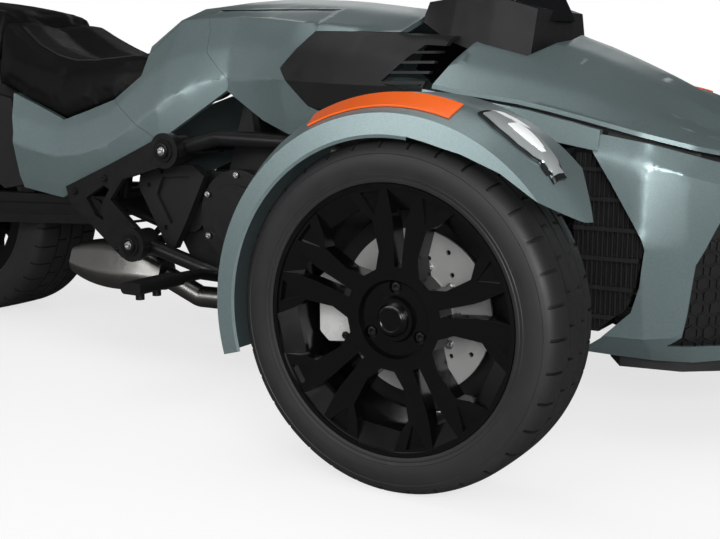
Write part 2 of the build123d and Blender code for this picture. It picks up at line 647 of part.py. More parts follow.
def rear_shock():
    """Single rear damper between the swing arm's bridge and the seat frame."""
    foot, head = Vector(BRIDGE_X, 0, BRIDGE_Z + BRIDGE_R + 7), Vector(-520, 0, 547)
    axis = (head - foot).normalized()
    length = (head - foot).length
    body = extrude(Plane(foot, z_dir=axis) * Circle(14.0), amount=length)
    body += spring(foot, axis, 30.0, length - 20.0, 8, 32.0)
    reach = SEAT_TUBE_Y - SEAT_TUBE_R - SEAT_GAP
    return body + rod((-520, -reach, 547), (-520, reach, 547), 18.0)


def foot_pegs():
    """Rider's pegs with their hangers from the lower rails."""
    peg = fillet(box_between((78, -548, 222), (130, -412, 246)).edges().filter_by(Axis.Y), 10.0)
    hanger = tube([(104, -420, 234), (104, -330, 232), (104, -250, 212)], 12.0, 30.0)
    hanger -= tube(LOWER_RAIL, RAIL_R + SEAT_GAP, 45.0)
    stubs = [rod((104, y, 208), (104, y, 224), 9.0) for y in (-520, -470)]
    return both_sides(peg + [hanger.solids().sort_by(Axis.Y)[0], *stubs])


# Nose


NOSE_SECTIONS = [
    # x, then half-width and height of: bottom, lower side, side, belt, edge under the lid
    (985, 238, 150, 300, 196, 332, 362, 334, 528, 322, 562),
    (1065, 222, 145, 286, 196, 322, 362, 318, 506, 302, 540),
    (1130, 198, 144, 244, 200, 276, 362, 284, 486, 262, 520),
    (1190, 150, 148, 186, 205, 218, 362, 236, 466, 212, 500),
    (1260, 92, 165, 118, 215, 140, 362, 152, 448, 132, 484),
    (NOSE_X, 40, 190, 50, 230, 58, 362, 62, 428, 52, 462),
]
BELT_SECTIONS = [
    # x, low edge z, top edge z, outer y low, outer y top
    (640, 578, 629, 330, 326),
    (850, 551, 594, 338, 322),
    (985, 527, 562, 334, 322),
]
GRILLE_EDGE = [(968, 560), (971, 533), (1009, 472), (1065, 378), (1070, 360), (1060, 292), (1044, 244), (987, 190),
               (930, 150), (930, 100), (700, 100), (700, 560)]
INTAKE = [(248, 180), (258, 330), (232, 432), (205, 428), (110, 330), (92, 230), (120, 176)]
LAMP = [(58, 450), (176, 468), (194, 452), (150, 430), (62, 420)]


def nose_loft(inset, rear_x, front_cut):
    """Nose form drawn in by a wall, reaching back to one x and cut short of the tip."""
    rows = [list(row) for row in NOSE_SECTIONS]
    rows[0][0] = rear_x
    rows[-1][0] -= front_cut
    sections = []
    for x, *flat in eased(rows, SECTION_STEP):
        points = [(y - inset, z) for y, z in zip(flat[::2], flat[1::2])]
        points[0] = (points[0][0], points[0][1] + inset)
        points[-1] = (points[-1][0], points[-1][1] - inset)
        sections.append(half_section(x, points))
    return loft(sections, ruled=True)


def belt_strip(inset):
    """Belt panel under the lid's edge on the right, as thick as its wall."""
    sections = []
    for x, z_low, z_top, y_low, y_top in BELT_SECTIONS:
        points = [(-y_low, z_low), (-y_top, z_top), (-y_top + inset, z_top), (-y_low + inset, z_low)]
        sections.append(cross_plane(x) * outline(points))
    return loft(sections, ruled=True)


def nose_shell():
    """Painted nose: hollow front panel with its lamp and intake openings, and the belts beside the lid."""
    shell = nose_loft(0, 940, 0) - nose_loft(NOSE_T, 930, NOSE_T)
    shell -= side_prism(GRILLE_EDGE, 400, -400)
    shell -= plan_prism(lid_plan(LID_GAP), 420, 700)
    for points in (INTAKE, LAMP):
        for side in (1, -1):
            shell -= cross_prism([(side * y, z) for y, z in points], 1080, 1400)
    shell -= plan_prism([(900, -120), (900, 120), (1190, 90), (1190, -90)], 100, 200)
    belt = belt_strip(NOSE_T + 6)
    return shell + [belt, mirrored(belt)]


def front_grilles():
    """Black intake inserts behind the nose's two corner openings."""
    plate = nose_loft(NOSE_T + 0.3, 930, NOSE_T + 4) - nose_loft(NOSE_T + 8, 920, NOSE_T + 14)
    grown = offset(outline([(-y, z) for y, z in INTAKE]), amount=14, kind=Kind.INTERSECTION)
    insert = plate & extrude(cross_plane(1080) * grown, amount=300)
    return both_sides(insert.solids().sort_by(SortBy.VOLUME)[-1])


def headlamps():
    """Lamp lenses in the nose, each with a closed housing behind."""
    form = nose_loft(1.0, 930, 4) & extrude(
        cross_plane(1152) * outline([(-y, z) for y, z in LAMP], SEAT_GAP), amount=300)
    return both_sides(form)


def side_grilles():
    """Slatted vents behind the front wheels, each on the radiator that it covers."""
    edge = [(972, 520), (1007, 466), (1058, 378), (1062, 360), (1052, 294), (1036, 250), (984, 208), (935, 192),
            (935, 520)]
    slats = [box_between((938, -312, z), (1064, -298, z + 8)) for z in (230, 282, 334, 386, 438, 490)]
    bars = [box_between((x, -306, 180), (x + 3, -298, 520)) for x in range(944, 1060, 9)]
    vent = (slats[0] + [*slats[1:], *bars]) & side_prism(edge, -200, -400)
    core = box_between((936, -292, 203), (985, -SUBFRAME_Y - RAIL_R - SEAT_GAP, 470))
    return both_sides(side_prism(edge, -290, -298) + [*vent.solids(), core])


LID_SECTIONS = [
    # x, half-width and height of: edge, crease, then height of the crest
    (640, 323, 634, 215, 724, 775),
    (700, 321, 622, 202, 709, 758),
    (827, 318, 604, 200, 677, 733),
    (940, 312, 579, 196, 645, 688),
    (1050, 294, 550, 176, 594, 636),
    (1130, 254, 528, 146, 556, 596),
    (1212, 172, 506, 96, 524, 548),
]


def lid_loft(inset, lower):
    """Lid's outer form, drawn in by a wall and carried down past its edge."""
    sections = []
    for x, y_edge, z_edge, y_crease, z_crease, z_crest in eased(LID_SECTIONS, SECTION_STEP):
        points = [(y_edge - inset, z_edge + 8), (y_crease - inset, z_crease - inset), (0, z_crest - inset)]
        sections.append(half_section(x, [(y_edge - inset, z_edge - lower), *crowned(points, LID_CROWN)]))
    return loft(sections, ruled=True)


def lid_plan(grow):
    """Top-view outline of the lid, grown by a gap, and open behind."""
    right = [(row[0], -row[1] - grow) for row in eased(LID_SECTIONS, SECTION_STEP)]
    right[-1] = (LID_SECTIONS[-1][0] + grow, right[-1][1])
    return right + [(x, -y) for x, y in reversed(right)]


def cargo_lid():
    """Front cargo lid with its notch round the dash and its hinge knuckles."""
    lid = lid_loft(0, 0) - lid_loft(LID_T, 40)
    lid -= plan_prism([(500, -190), (500, 190), (790, 190), (826, 60), (826, -60), (790, -190)], 500, 900)
    lid -= side_prism([(600, 560), (648, 600), (690, 730), (690, 900), (600, 900)], 400, -400)
    for side in (1, -1):
        y = side * LID_HINGE_Y
        arm = box_between((LID_HINGE_X - LID_HINGE_R, y - 15, LID_HINGE_Z),
                          (LID_HINGE_X + LID_HINGE_R, y + 15, LID_HINGE_Z + 60)) & lid_loft(LID_T / 2, 40)
        knuckle_eye = rod((LID_HINGE_X, y - 15, LID_HINGE_Z), (LID_HINGE_X, y + 15, LID_HINGE_Z), LID_HINGE_R)
        lid += (arm + knuckle_eye)
        lid -= rod((LID_HINGE_X, y - 16, LID_HINGE_Z), (LID_HINGE_X, y + 16, LID_HINGE_Z), LID_PIN_R + PIN_FIT)
    return lid


def cargo_tub():
    """Open-topped cargo tub under the lid, with its flange to the nose and the lid's hinge forks."""
    low, high = (UPPER_RAIL_X + SEAT_GAP, -205, 300), (1128, 205, 520)
    tub = box_between(low, high)
    flange = nose_loft(NOSE_T + SEAT_GAP, 930, 12) & box_between((988, -400, 508), (1128, 400, 516))
    tub = tub + flange - box_between((low[0] + 5, -200, 305), (high[0] - 5, 200, 600))
    for side in (1, -1):
        y = side * LID_HINGE_Y
        for place in (y - 26, y + 26):
            tub += box_between((1124, place - 6, LID_HINGE_Z - LID_FORK_R),
                               (LID_HINGE_X + LID_FORK_R, place + 6, LID_HINGE_Z + LID_FORK_R))
        tub += rod((LID_HINGE_X, y - 30, LID_HINGE_Z), (LID_HINGE_X, y + 30, LID_HINGE_Z), LID_PIN_R)
    return tub


def chin():
    """Black lip under the nose."""
    slab = plan_prism([(1000, -215), (1110, -198), (1200, -130), (1280, -60), (1280, 60), (1200, 130), (1110, 198),
                       (1000, 215), (960, 150), (960, -150)], 124, 150)
    return slab - nose_loft(-0.4, 940, -5)


# Upper body


BODY_SECTIONS = [
    # x, then half-width and height of: low edge, bulge, crease, and the height of the top
    (-570, 212, 330, 256, 500, 226, 612, 650),
    (-390, 222, 330, 266, 462, 216, 585, 640),
    (-222, 232, 340, 270, 490, 206, 640, 690),
    (-57, 240, 400, 266, 590, 178, 775, 815),
    (116, 214, 470, 236, 650, 190, 778, 826),
    (300, 246, 480, 306, 645, 232, 762, 818),
    (440, 262, 520, 328, 638, 236, 748, 800),
    (640, 285, 540, 325, 632, 212, 722, 775),
]
KNEE = [(-60, 508), (112, 620), (120, 640), (52, 700), (40, 752), (10, 798), (-48, 775), (-138, 700), (-140, 652),
        (-222, 598)]
SEAT_SIDE = [(-395, 360), (-60, 508), (-222, 598), (-380, 548), (-560, 610), (-538, 515), (-530, 378)]
FLANK = [(120, 640), (112, 620), (224, 561), (300, 533), (430, 570), (368, 594), (294, 668), (352, 742), (345, 790),
         (10, 798), (40, 752), (52, 700)]
POD = [(294, 668), (368, 594), (440, 578), (600, 612), (640, 608), (684, 726), (560, 736), (352, 742)]
LOUVRE = [(545, 640), (600, 712), (664, 708), (636, 634), (600, 628)]
COVER = [(-138, 700), (-48, 775), (10, 798), (345, 790), (352, 742), (535, 737), (535, 900), (-138, 900)]


def body_loft(inset, lower):
    """Upper body's form, drawn in by a wall and carried past its low edge and its ends."""
    rows = eased(BODY_SECTIONS, BODY_STEP)
    sections = []
    for index, (x, y_low, z_low, y_bulge, z_bulge, y_crease, z_crease, z_top) in enumerate(rows):
        points = [(y_low - inset, z_low), (y_bulge - inset, z_bulge), (y_crease - inset, z_crease - inset / 2),
                  (0, z_top - inset)]
        end = lower / 3 * ((index == len(rows) - 1) - (index == 0))
        sections.append(half_section(x + end, [(y_low - inset, z_low - lower - 1), *crowned(points, BODY_CROWN)]))
    return loft(sections, ruled=True)


def body_panels():
    """Body panels cut from one hollow form, so that neighbours are flush with an even gap."""
    skin = body_loft(0, 0) - body_loft(PANEL_T, 60)
    cuts = (("seat_side_panels", SEAT_SIDE), ("knee_panels", KNEE), ("flank_panels", FLANK), ("intake_pods", POD),
            ("tank_cover", COVER))
    panels = {name: skin & side_prism(points, 400, -400, PANEL_GAP) for name, points in cuts}
    louvre = side_prism(LOUVRE, 400, -400)
    slats = [box_between((500, -400, z), (700, 400, z + 5)) for z in (638, 657, 676, 695)]
    panels["intake_pods"] = (panels["intake_pods"] - louvre) + [skin & louvre & slat for slat in slats]
    return panels


def dash_form(grow):
    """Dash pod's outer form, grown by a gap."""
    rows = (
        # x, half-width, floor z, top z
        (545, 150, 760, 800),
        (618, 176, 720, DASH_TOP_Z),
        (700, 176, DASH_FLOOR_Z, DASH_TOP_Z),
        (780, 150, DASH_FLOOR_Z, 780),
    )
    return loft([cross_plane(x) * outline([(-w - grow, low - grow), (w + grow, low - grow),
                                           (0.8 * w + grow, high + grow), (-0.8 * w - grow, high + grow)])
                 for x, w, low, high in rows], ruled=True)


def dash():
    """Dash pod in the lid's notch, open round the steering column."""
    return dash_form(0.0) - rod(COLUMN_FOOT, COLUMN_HEAD, COLUMN_R + 8.0)


def display():
    """Instrument display on the dash, turned up to the rider."""
    screen = Pos(668, 0, 874) * Rot(0, -35, 0) * Box(26, 190, 110)
    return screen + [rod((690, y, DASH_TOP_Z + SEAT_GAP), (690, y, 870), 9.0) for y in (-40, 40)]


def windscreen():
    """Small fly screen ahead of the display, bent from one sheet."""
    sheet = loft([plan_plane(z) * outline([(x, -w), (x + 60, 0), (x, w), (x - 5, w), (x + 55, 0), (x - 5, -w)])
                  for z, x, w in ((760, 752, 120), (930, 664, 110))])
    return (sheet - dash_form(SEAT_GAP)).solids().sort_by(Axis.Z)[-1]


# Seats and tail


RIDER_SEAT = [
    # x, half-width, underside z, edge z, middle z
    (-142, 196, 640, 696, 704),
    (-222, 224, 560, 690, 692),
    (-390, 232, 520, 682, 672),
    (-520, 228, 560, 722, 700),
    (-640, 200, 640, 790, 786),
]
PILLION_SEAT = [
    (-664, 176, 691, 800, 808),
    (-800, 176, 708.7, 822, 832),
    (-980, 140, 730.3, 842, 850),
    (-1012, 118, 734.2, 820, 826),
]


SEAT_EDGE = [(-138 + 2 * PANEL_GAP, 652), (-222, 599 + 2 * PANEL_GAP), (-380, 548.5 + 2 * PANEL_GAP),
             (-560, 610.5 + 2 * PANEL_GAP), (-640, 636)]
TAIL_SECTIONS = [
    # x, half-width at the bottom, bottom z, top z
    (-575, 213, 570, 604),
    (-648, 213, 590, 632),
    (-662, 213, 594, 690),
    (-800, 205, 630, 708),
    (-1000, 160, 655, 732),
    (-1230, 110, 690, 760),
]


def seat_loft(rows):
    """Cushion from crowned sections along the seat."""
    sections = []
    for x, half, low, edge, middle in eased(rows, SECTION_STEP):
        points = [(half, low), (half * 0.98, (low + edge) / 2), (half * 0.86, edge), (0, middle)]
        sections.append(half_section(x, crowned(points, SEAT_CROWN)))
    return loft(sections, ruled=True)


def rider_seat():
    """Rider's bucket seat, standing on the edges of the panels beside it."""
    below = [(-90, 400), (-90, 700), *SEAT_EDGE, (-700, 600), (-700, 400)]
    return seat_loft(RIDER_SEAT) - side_prism(below, 400, -400)


def pillion_seat():
    """Passenger's seat on the tail."""
    return seat_loft(PILLION_SEAT)


def tail_body():
    """Black tail under the seats, hollow over the seat frame."""
    def form(inset, lower, ends):
        sections = []
        for index, (x, half, low, high) in enumerate(TAIL_SECTIONS):
            shift = ends if index == 0 else 0
            sections.append(cross_plane(x + shift) * outline(
                [(-half + inset, low - lower), (half - inset, low - lower),
                 (0.85 * half - inset, high - inset), (-0.85 * half + inset, high - inset)]))
        return loft(sections, ruled=True)
    shell = form(0, 0, 0) - (form(8.0, 20.0, 20.0) & box_between((-1222, -400, 400), (-500, 400, 900)))
    rib = box_between((-912, -SEAT_TUBE_Y - 12, 668), (-892, -SEAT_TUBE_Y + 12, 716))
    rib -= rod(SEAT_TUBE[2], SEAT_TUBE[3], SEAT_TUBE_R + SEAT_GAP)
    return shell + [rib.solids().sort_by(Axis.Z)[-1], mirrored(rib.solids().sort_by(Axis.Z)[-1])]


def rear_quarters():
    """Black quarter panels below the tail, outside the rear wheel."""
    shape = [(-562, 596), (-542, 512), (-534, 384), (-600, 372), (-760, 470), (-960, 600), (-960, 650), (-700, 640),
             (-640, 612)]
    return both_sides(side_prism(shape, -TAIL_SECTIONS[0][1] - SEAT_GAP, -TAIL_SECTIONS[0][1] - 22))


def tail_lamp():
    """Tail lamp across the end of the tail."""
    return box_between((-1246, -95, 700), (-1230.3, 95, 745))


def rear_fender():
    """Hugger over the rear wheel, on a strut and a lug from the swing arm."""
    hug = Pos(REAR_AXLE_X, 0, REAR_TYRE_R) * turned(
        [(326, -118), (332, -118), (336, 0), (332, 118), (326, 118), (330, 0)], 150, 10)
    seat_y = -SWING_IN_Y + SEAT_GAP
    strut = rod((-760, seat_y + 10, 340), (-760, -114, 601), 7.0)
    foot = box_between((-772, seat_y, 322), (-748, seat_y + 14, 346))
    lug = box_between((-600, seat_y, 330), (-580, -112, 370))
    return hug + [strut, foot, lug]


def plate_holder():
    """Blank plate on its arm behind the rear wheel."""
    plate = box_between((TAIL_X, -PLATE_W / 2, PLATE_Z - PLATE_H / 2), (TAIL_X + PLATE_T, PLATE_W / 2,
                                                                        PLATE_Z + PLATE_H / 2))
    for y in (-PLATE_HOLE_Y / 2, PLATE_HOLE_Y / 2):
        for z in (PLATE_Z - PLATE_HOLE_Z / 2, PLATE_Z + PLATE_HOLE_Z / 2):
            plate -= rod((TAIL_X - 1, y, z), (TAIL_X + PLATE_T + 1, y, z), PLATE_HOLE_R)
    arm = box_between((TAIL_X + 4, -22, PLATE_Z - 14), (-1150, 22, PLATE_Z + 14))
    arm -= rod((REAR_AXLE_X, -60, REAR_TYRE_R), (REAR_AXLE_X, 60, REAR_TYRE_R), 336.0 + SEAT_GAP)
    return plate + arm


# Handlebar


def handlebar():
    """Swept bar on its column and risers."""
    column = rod(COLUMN_FOOT, COLUMN_HEAD, COLUMN_R)
    bar_x, _, bar_z = BAR_POINTS[2]
    zone = rod((bar_x, -BAR_CLAMP_Y, bar_z), (bar_x, BAR_CLAMP_Y, bar_z), BAR_CLAMP_R)
    clamp = box_between((488, -BAR_CLAMP_Y + 2, 912), (545, BAR_CLAMP_Y - 2, 945))
    return column + [tube(BAR_POINTS, BAR_R, 40.0), zone, clamp]


def grips():
    """Rubber grips with the switch housings beside them."""
    start, end = Vector(*BAR_POINTS[0]), Vector(*BAR_POINTS[1])
    axis = (end - start).normalized()
    plane = Plane(start - axis * 4, z_dir=axis)
    sleeve = extrude(plane * (Circle(GRIP_R) - Circle(BAR_R + SEAT_GAP)), amount=GRIP_L)
    switch = Plane(start + axis * (GRIP_L + 14), z_dir=axis) * Box(52, 46, 34)
    switch -= extrude(plane * Circle(BAR_R + SEAT_GAP), amount=260)
    return both_sides(Compound(children=[*sleeve.solids(), *switch.solids()]))


def mirrors():
    """Mirrors on stems from the bar."""
    stem = tube([(433, -298, 978), (425, -350, 1040), (392, -440, 1052)], 6.0, 20.0)
    stem -= tube(BAR_POINTS, BAR_R + SEAT_GAP, 40.0)
    head = Pos(385, -470, 1058) * Rot(0, 0, 12) * Box(26, 150, 82)
    return both_sides(stem.solids().sort_by(Axis.Z)[-1] + head)


def main():
    """Makes every piece and writes it under its node's name."""
    wheel_parts = {"tyre": tyre(FRONT_TYRE_R, FRONT_TYRE_W, FRONT_RIM_R, FRONT_RIM_W), "rim": front_rim(),
                   "brake_disc": brake_disc(), "knuckle": knuckle(), "caliper": caliper(), "fender": fender(),
                   "fender_lamp": fender_lamp(), "fender_reflector": fender_reflector()}
    nodes = {}
    for name, shape in wheel_parts.items():
        right = front_right(shape)
        nodes[f"{name}_right"] = right
        nodes[f"{name}_left"] = mirrored(right)
    rear = Pos(REAR_AXLE_X, 0, REAR_TYRE_R)
    nodes["tyre_rear"] = rear * tyre(REAR_TYRE_R, REAR_TYRE_W, REAR_RIM_R, REAR_RIM_W)
    nodes["rim_rear"] = rear * rear_rim()
    nodes["brake_disc_rear"] = rear * rear_disc()
    nodes.update(body_panels())
    nodes["shocks"] = Compound(children=[*front_shocks().solids(), *rear_shock().solids()])
    nodes["belt_drive"] = Compound(children=[*drive_belt().solids(), *drive_pulley().solids()])
    for make in (main_frame, side_plates, a_arms, steering_link, engine, engine_trim, exhaust, swing_arm,
                 foot_pegs, nose_shell, front_grilles, headlamps, side_grilles,
                 cargo_lid, cargo_tub, chin, dash, display, windscreen, rider_seat, pillion_seat, tail_body,
                 rear_quarters, tail_lamp, rear_fender, plate_holder, handlebar, grips, mirrors):
        nodes[make.__name__] = make()
    os.makedirs("parts", exist_ok=True)
    for name, shape in nodes.items():
        export_step(shape, f"parts/{name}.step")


main()
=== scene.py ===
"""Motor trike dressed for the studio: finishes, tread, seams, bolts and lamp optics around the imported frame.

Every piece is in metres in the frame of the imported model: +X forward, +Y to the rider's left, +Z up.
"""

import json
import logging
from contextlib import contextmanager
from dataclasses import dataclass, field
from enum import Enum
from math import atan2, cos, degrees, hypot, pi, radians, sin, sqrt, tau
from typing import Callable, Iterator, Sequence

import bmesh
import bpy
from mathutils import Matrix, Vector
from mathutils.bvhtree import BVHTree

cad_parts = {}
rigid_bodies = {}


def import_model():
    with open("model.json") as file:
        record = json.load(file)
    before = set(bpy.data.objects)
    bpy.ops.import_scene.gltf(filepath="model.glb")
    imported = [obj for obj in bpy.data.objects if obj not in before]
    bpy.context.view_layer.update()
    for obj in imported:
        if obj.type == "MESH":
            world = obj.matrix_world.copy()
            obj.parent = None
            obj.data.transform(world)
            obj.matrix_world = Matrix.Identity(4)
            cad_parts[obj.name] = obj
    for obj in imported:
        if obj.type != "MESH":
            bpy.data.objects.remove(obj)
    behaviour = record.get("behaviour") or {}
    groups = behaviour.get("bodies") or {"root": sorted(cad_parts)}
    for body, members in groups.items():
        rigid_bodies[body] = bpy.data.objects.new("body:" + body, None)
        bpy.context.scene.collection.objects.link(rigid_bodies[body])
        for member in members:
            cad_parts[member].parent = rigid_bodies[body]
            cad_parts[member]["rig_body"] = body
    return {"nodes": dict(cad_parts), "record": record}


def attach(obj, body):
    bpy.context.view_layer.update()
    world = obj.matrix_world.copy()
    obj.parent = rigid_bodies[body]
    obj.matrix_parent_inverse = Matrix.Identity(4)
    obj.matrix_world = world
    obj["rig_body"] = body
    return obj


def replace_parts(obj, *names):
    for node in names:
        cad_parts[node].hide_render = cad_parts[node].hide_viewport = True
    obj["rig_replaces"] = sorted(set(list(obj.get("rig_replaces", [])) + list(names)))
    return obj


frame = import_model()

LOG = logging.getLogger("trike")
MM = 0.001
Test = Callable[[Vector, Vector], bool]
Socket = bpy.types.NodeSocket
Piece = bpy.types.Object


def linear(colour: str) -> tuple[float, float, float, float]:
    """Turns an sRGB hex colour into linear light.

    Args:
        colour: Six hex digits after a hash.

    Returns:
        Linear red, green and blue with full alpha.
    """
    parts = [int(colour[i:i + 2], 16) / 255 for i in (1, 3, 5)]
    light = [c / 12.92 if c <= 0.04045 else ((c + 0.055) / 1.055) ** 2.4 for c in parts]
    return (*light, 1.0)


def add_node(tree: bpy.types.NodeTree, kind: str, inputs: dict | None = None, **settings: object) -> bpy.types.Node:
    """Adds a shader node with its settings, values and links.

    Args:
        tree: Node tree that takes the node.
        kind: Blender's name for the node, without its ShaderNode start.
        inputs: Value or linked socket for each input, by name or number.
        settings: Attributes of the node itself.

    Returns:
        The new node.
    """
    node = tree.nodes.new("ShaderNode" + kind)
    for name, value in settings.items():
        setattr(node, name, value)
    for key, value in (inputs or {}).items():
        if isinstance(value, Socket):
            tree.links.new(value, node.inputs[key])
        else:
            node.inputs[key].default_value = value
    return node


class Grain(Enum):
    """How a surface was made, which sets the relief that it shows."""

    SPRAYED = "orange peel of a sprayed coat"
    MOULDED = "spark-eroded texture of a moulding"
    CAST = "pimples of a casting"
    HIDE = "cells of an embossed hide"
    TURNED = "rings left by a lathe"
    POLISHED = "no relief"


@dataclass(frozen=True)
class Finish:
    """One real material: its colours, gloss and relief."""

    name: str
    colour: str
    shade: str
    roughness: tuple[float, float]
    grain: Grain
    grain_mm: float = 3.0
    relief: float = 0.1
    cloud_mm: float = 90.0
    metallic: float = 0.0
    specular: float = 0.5
    coat: float = 0.0
    coat_roughness: float = 0.1
    ior: float = 1.5
    flake_mm: float = 0.0
    turned_about: tuple[float, float] = (0.0, 0.0)

    def material(self) -> bpy.types.Material:
        """Builds the node material once and hands out the same one after that.

        Returns:
            The finish's material.
        """
        found = bpy.data.materials.get(self.name)
        if found:
            return found
        made = bpy.data.materials.new(self.name)
        made.use_nodes = True
        tree = made.node_tree
        tree.nodes.clear()
        place = add_node(tree, "TexCoord").outputs["Object"]
        shader = add_node(tree, "BsdfPrincipled", {
            "Metallic": self.metallic, "Specular IOR Level": self.specular, "Coat Weight": self.coat,
            "Coat Roughness": self.coat_roughness, "IOR": self.ior,
        })
        cloud = self._texture(tree, "Noise", place, self.cloud_mm, Detail=3.0)
        colour = add_node(tree, "MixRGB", {
            "Fac": cloud.outputs[0], "Color1": linear(self.colour), "Color2": linear(self.shade)})
        if self.flake_mm:
            colour = self._flakes(tree, place, colour)
        tree.links.new(colour.outputs[0], shader.inputs["Base Color"])
        low, high = self.roughness
        streak = self._texture(tree, "Noise", place, self.cloud_mm / 4, Detail=4.0)
        rough = add_node(tree, "MapRange", {
            "Value": streak.outputs[0], "From Min": 0.3, "From Max": 0.7, "To Min": low, "To Max": high})
        tree.links.new(rough.outputs[0], shader.inputs["Roughness"])
        if self.grain is not Grain.POLISHED:
            tree.links.new(self._relief(tree, place), shader.inputs["Normal"])
        output = add_node(tree, "OutputMaterial")
        tree.links.new(shader.outputs[0], output.inputs["Surface"])
        return made

    @staticmethod
    def _texture(tree: bpy.types.NodeTree, kind: str, place: Socket, size_mm: float,
                 **values: float) -> bpy.types.Node:
        """Adds a texture whose features have a real size in millimetres."""
        return add_node(tree, "Tex" + kind, {"Vector": place, "Scale": 1 / (size_mm * MM), **values})

    def _flakes(self, tree: bpy.types.NodeTree, place: Socket, colour: bpy.types.Node) -> bpy.types.Node:
        """Lightens single metal flakes in the coat, drawn coarser than the real 0.1 mm so that they show.

        Args:
            tree: Node tree of the material.
            place: Coordinates of the surface.
            colour: Node that gives the colour of the coat.

        Returns:
            Node that gives the colour with its flakes.
        """
        cells = self._texture(tree, "Voronoi", place, self.flake_mm)
        bright = add_node(tree, "MapRange", {
            "Value": add_node(tree, "SeparateColor", {0: cells.outputs["Color"]}).outputs[0],
            "From Min": 0.0, "From Max": 1.0, "To Min": 0.0, "To Max": 0.05})
        return add_node(tree, "MixRGB", {
            "Fac": bright.outputs[0], "Color1": colour.outputs[0], "Color2": (1, 1, 1, 1)}, blend_type="SCREEN")

    def _relief(self, tree: bpy.types.NodeTree, place: Socket) -> Socket:
        """Adds the bump that the way of making leaves on the surface.

        Args:
            tree: Node tree of the material.
            place: Coordinates of the surface.

        Returns:
            The bumped normal.
        """
        if self.grain is Grain.HIDE:
            height = self._texture(tree, "Voronoi", place, self.grain_mm).outputs["Distance"]
        elif self.grain is Grain.TURNED:
            apart = add_node(tree, "SeparateXYZ", {0: place})
            x = add_node(tree, "Math", {0: apart.outputs[0], 1: self.turned_about[0]}, operation="SUBTRACT")
            z = add_node(tree, "Math", {0: apart.outputs[2], 1: self.turned_about[1]}, operation="SUBTRACT")
            flat = add_node(tree, "CombineXYZ", {0: x.outputs[0], 1: z.outputs[0]})
            out = add_node(tree, "VectorMath", {0: flat.outputs[0]}, operation="LENGTH")
            rings = add_node(tree, "CombineXYZ", {0: out.outputs["Value"]})
            height = self._texture(tree, "Noise", rings.outputs[0], self.grain_mm, Detail=1.0).outputs[0]
        else:
            detail = 2.0 if self.grain is Grain.SPRAYED else 5.0
            height = self._texture(tree, "Noise", place, self.grain_mm, Detail=detail).outputs[0]
        bump = add_node(tree, "Bump", {
            "Height": height, "Strength": self.relief, "Distance": self.grain_mm * MM * 0.5})
        return bump.outputs[0]


# Sprayed base coat full of fine metal, under a satin clear coat: wide soft highlights and dark turned-away sides.
BODY_PAINT = Finish("satin_metallic_paint", "#728384", "#6a7b7d", (0.34, 0.38), Grain.SPRAYED, 9.0, 0.008,
                    metallic=0.6, coat=0.2, coat_roughness=0.2, flake_mm=1.2, cloud_mm=420.0)
# Moulded polypropylene: matt black with a grey bloom where light grazes the eroded texture.
BLACK_PLASTIC = Finish("moulded_polypropylene", "#161617", "#1c1c1d", (0.40, 0.50), Grain.MOULDED, 2.2, 0.10,
                       specular=0.35)
# Powder-coated steel tube: even satin black with a slight peel.
FRAME_BLACK = Finish("powder_coated_steel", "#0e0e0f", "#131314", (0.30, 0.40), Grain.SPRAYED, 3.5, 0.05,
                     specular=0.4)
# Vulcanised tyre rubber: dull, slightly dusty, finely pitted.
TYRE_RUBBER = Finish("tyre_rubber", "#1c1c1d", "#232323", (0.44, 0.56), Grain.MOULDED, 2.6, 0.08, specular=0.3)
# Painted cast alloy: satin black, smoother than the plastic.
RIM_BLACK = Finish("satin_black_alloy", "#040405", "#060607", (0.15, 0.20), Grain.SPRAYED, 5.0, 0.015,
                   specular=0.4)
# Ground stainless steel: bright, with the rings of the grinding wheel about the axle.
FRONT_DISC = Finish("ground_stainless_front", "#b0b0ae", "#a6a6a4", (0.30, 0.38), Grain.TURNED, 3.0, 0.12,
                    metallic=0.3, turned_about=(0.801, 0.281))
REAR_DISC = Finish("ground_stainless_rear", "#b0b0ae", "#a6a6a4", (0.30, 0.38), Grain.TURNED, 3.0, 0.12,
                   metallic=0.3, turned_about=(-0.908, 0.303))
# Lacquered cast aluminium: pale grey with a fine sand texture.
CAST_ALUMINIUM = Finish("cast_aluminium", "#c8c8c6", "#b6b6b4", (0.34, 0.46), Grain.CAST, 3.0, 0.16, metallic=0.8)
# Caliper enamel: pale silver, smooth and a little glossy.
CALIPER_SILVER = Finish("caliper_enamel", "#c4c4c1", "#bababa", (0.24, 0.32), Grain.SPRAYED, 5.0, 0.03, metallic=0.1)
# Graphite paint on cast engine covers: dark warm grey, satin.
ENGINE_GREY = Finish("graphite_cast_cover", "#343230", "#2b2a29", (0.34, 0.44), Grain.CAST, 3.0, 0.10, metallic=0.4)
ENGINE_DARK = Finish("black_cast_case", "#151516", "#1c1c1d", (0.36, 0.48), Grain.CAST, 4.0, 0.14, metallic=0.2)
# Embossed seat vinyl: soft black with small leather cells.
SEAT_VINYL = Finish("embossed_seat_vinyl", "#090808", "#0d0c0c", (0.46, 0.56), Grain.HIDE, 2.6, 0.10, specular=0.14)
# Moulded polycarbonate over a pale pressed optic, seen as one milky bright skin.
CLEAR_LENS = Finish("clear_polycarbonate", "#a9aeaf", "#9aa0a1", (0.08, 0.14), Grain.POLISHED, coat=0.9,
                    coat_roughness=0.03, metallic=0.35, cloud_mm=40.0)
# White light guide and glossy dark surround inside a lamp.
LAMP_WHITE = Finish("diode_guide", "#f2f4f4", "#e6eaea", (0.16, 0.24), Grain.POLISHED, coat=0.6, coat_roughness=0.05)
LAMP_DARK = Finish("lamp_bezel", "#141516", "#1a1b1c", (0.12, 0.18), Grain.POLISHED, coat=0.6, coat_roughness=0.04)
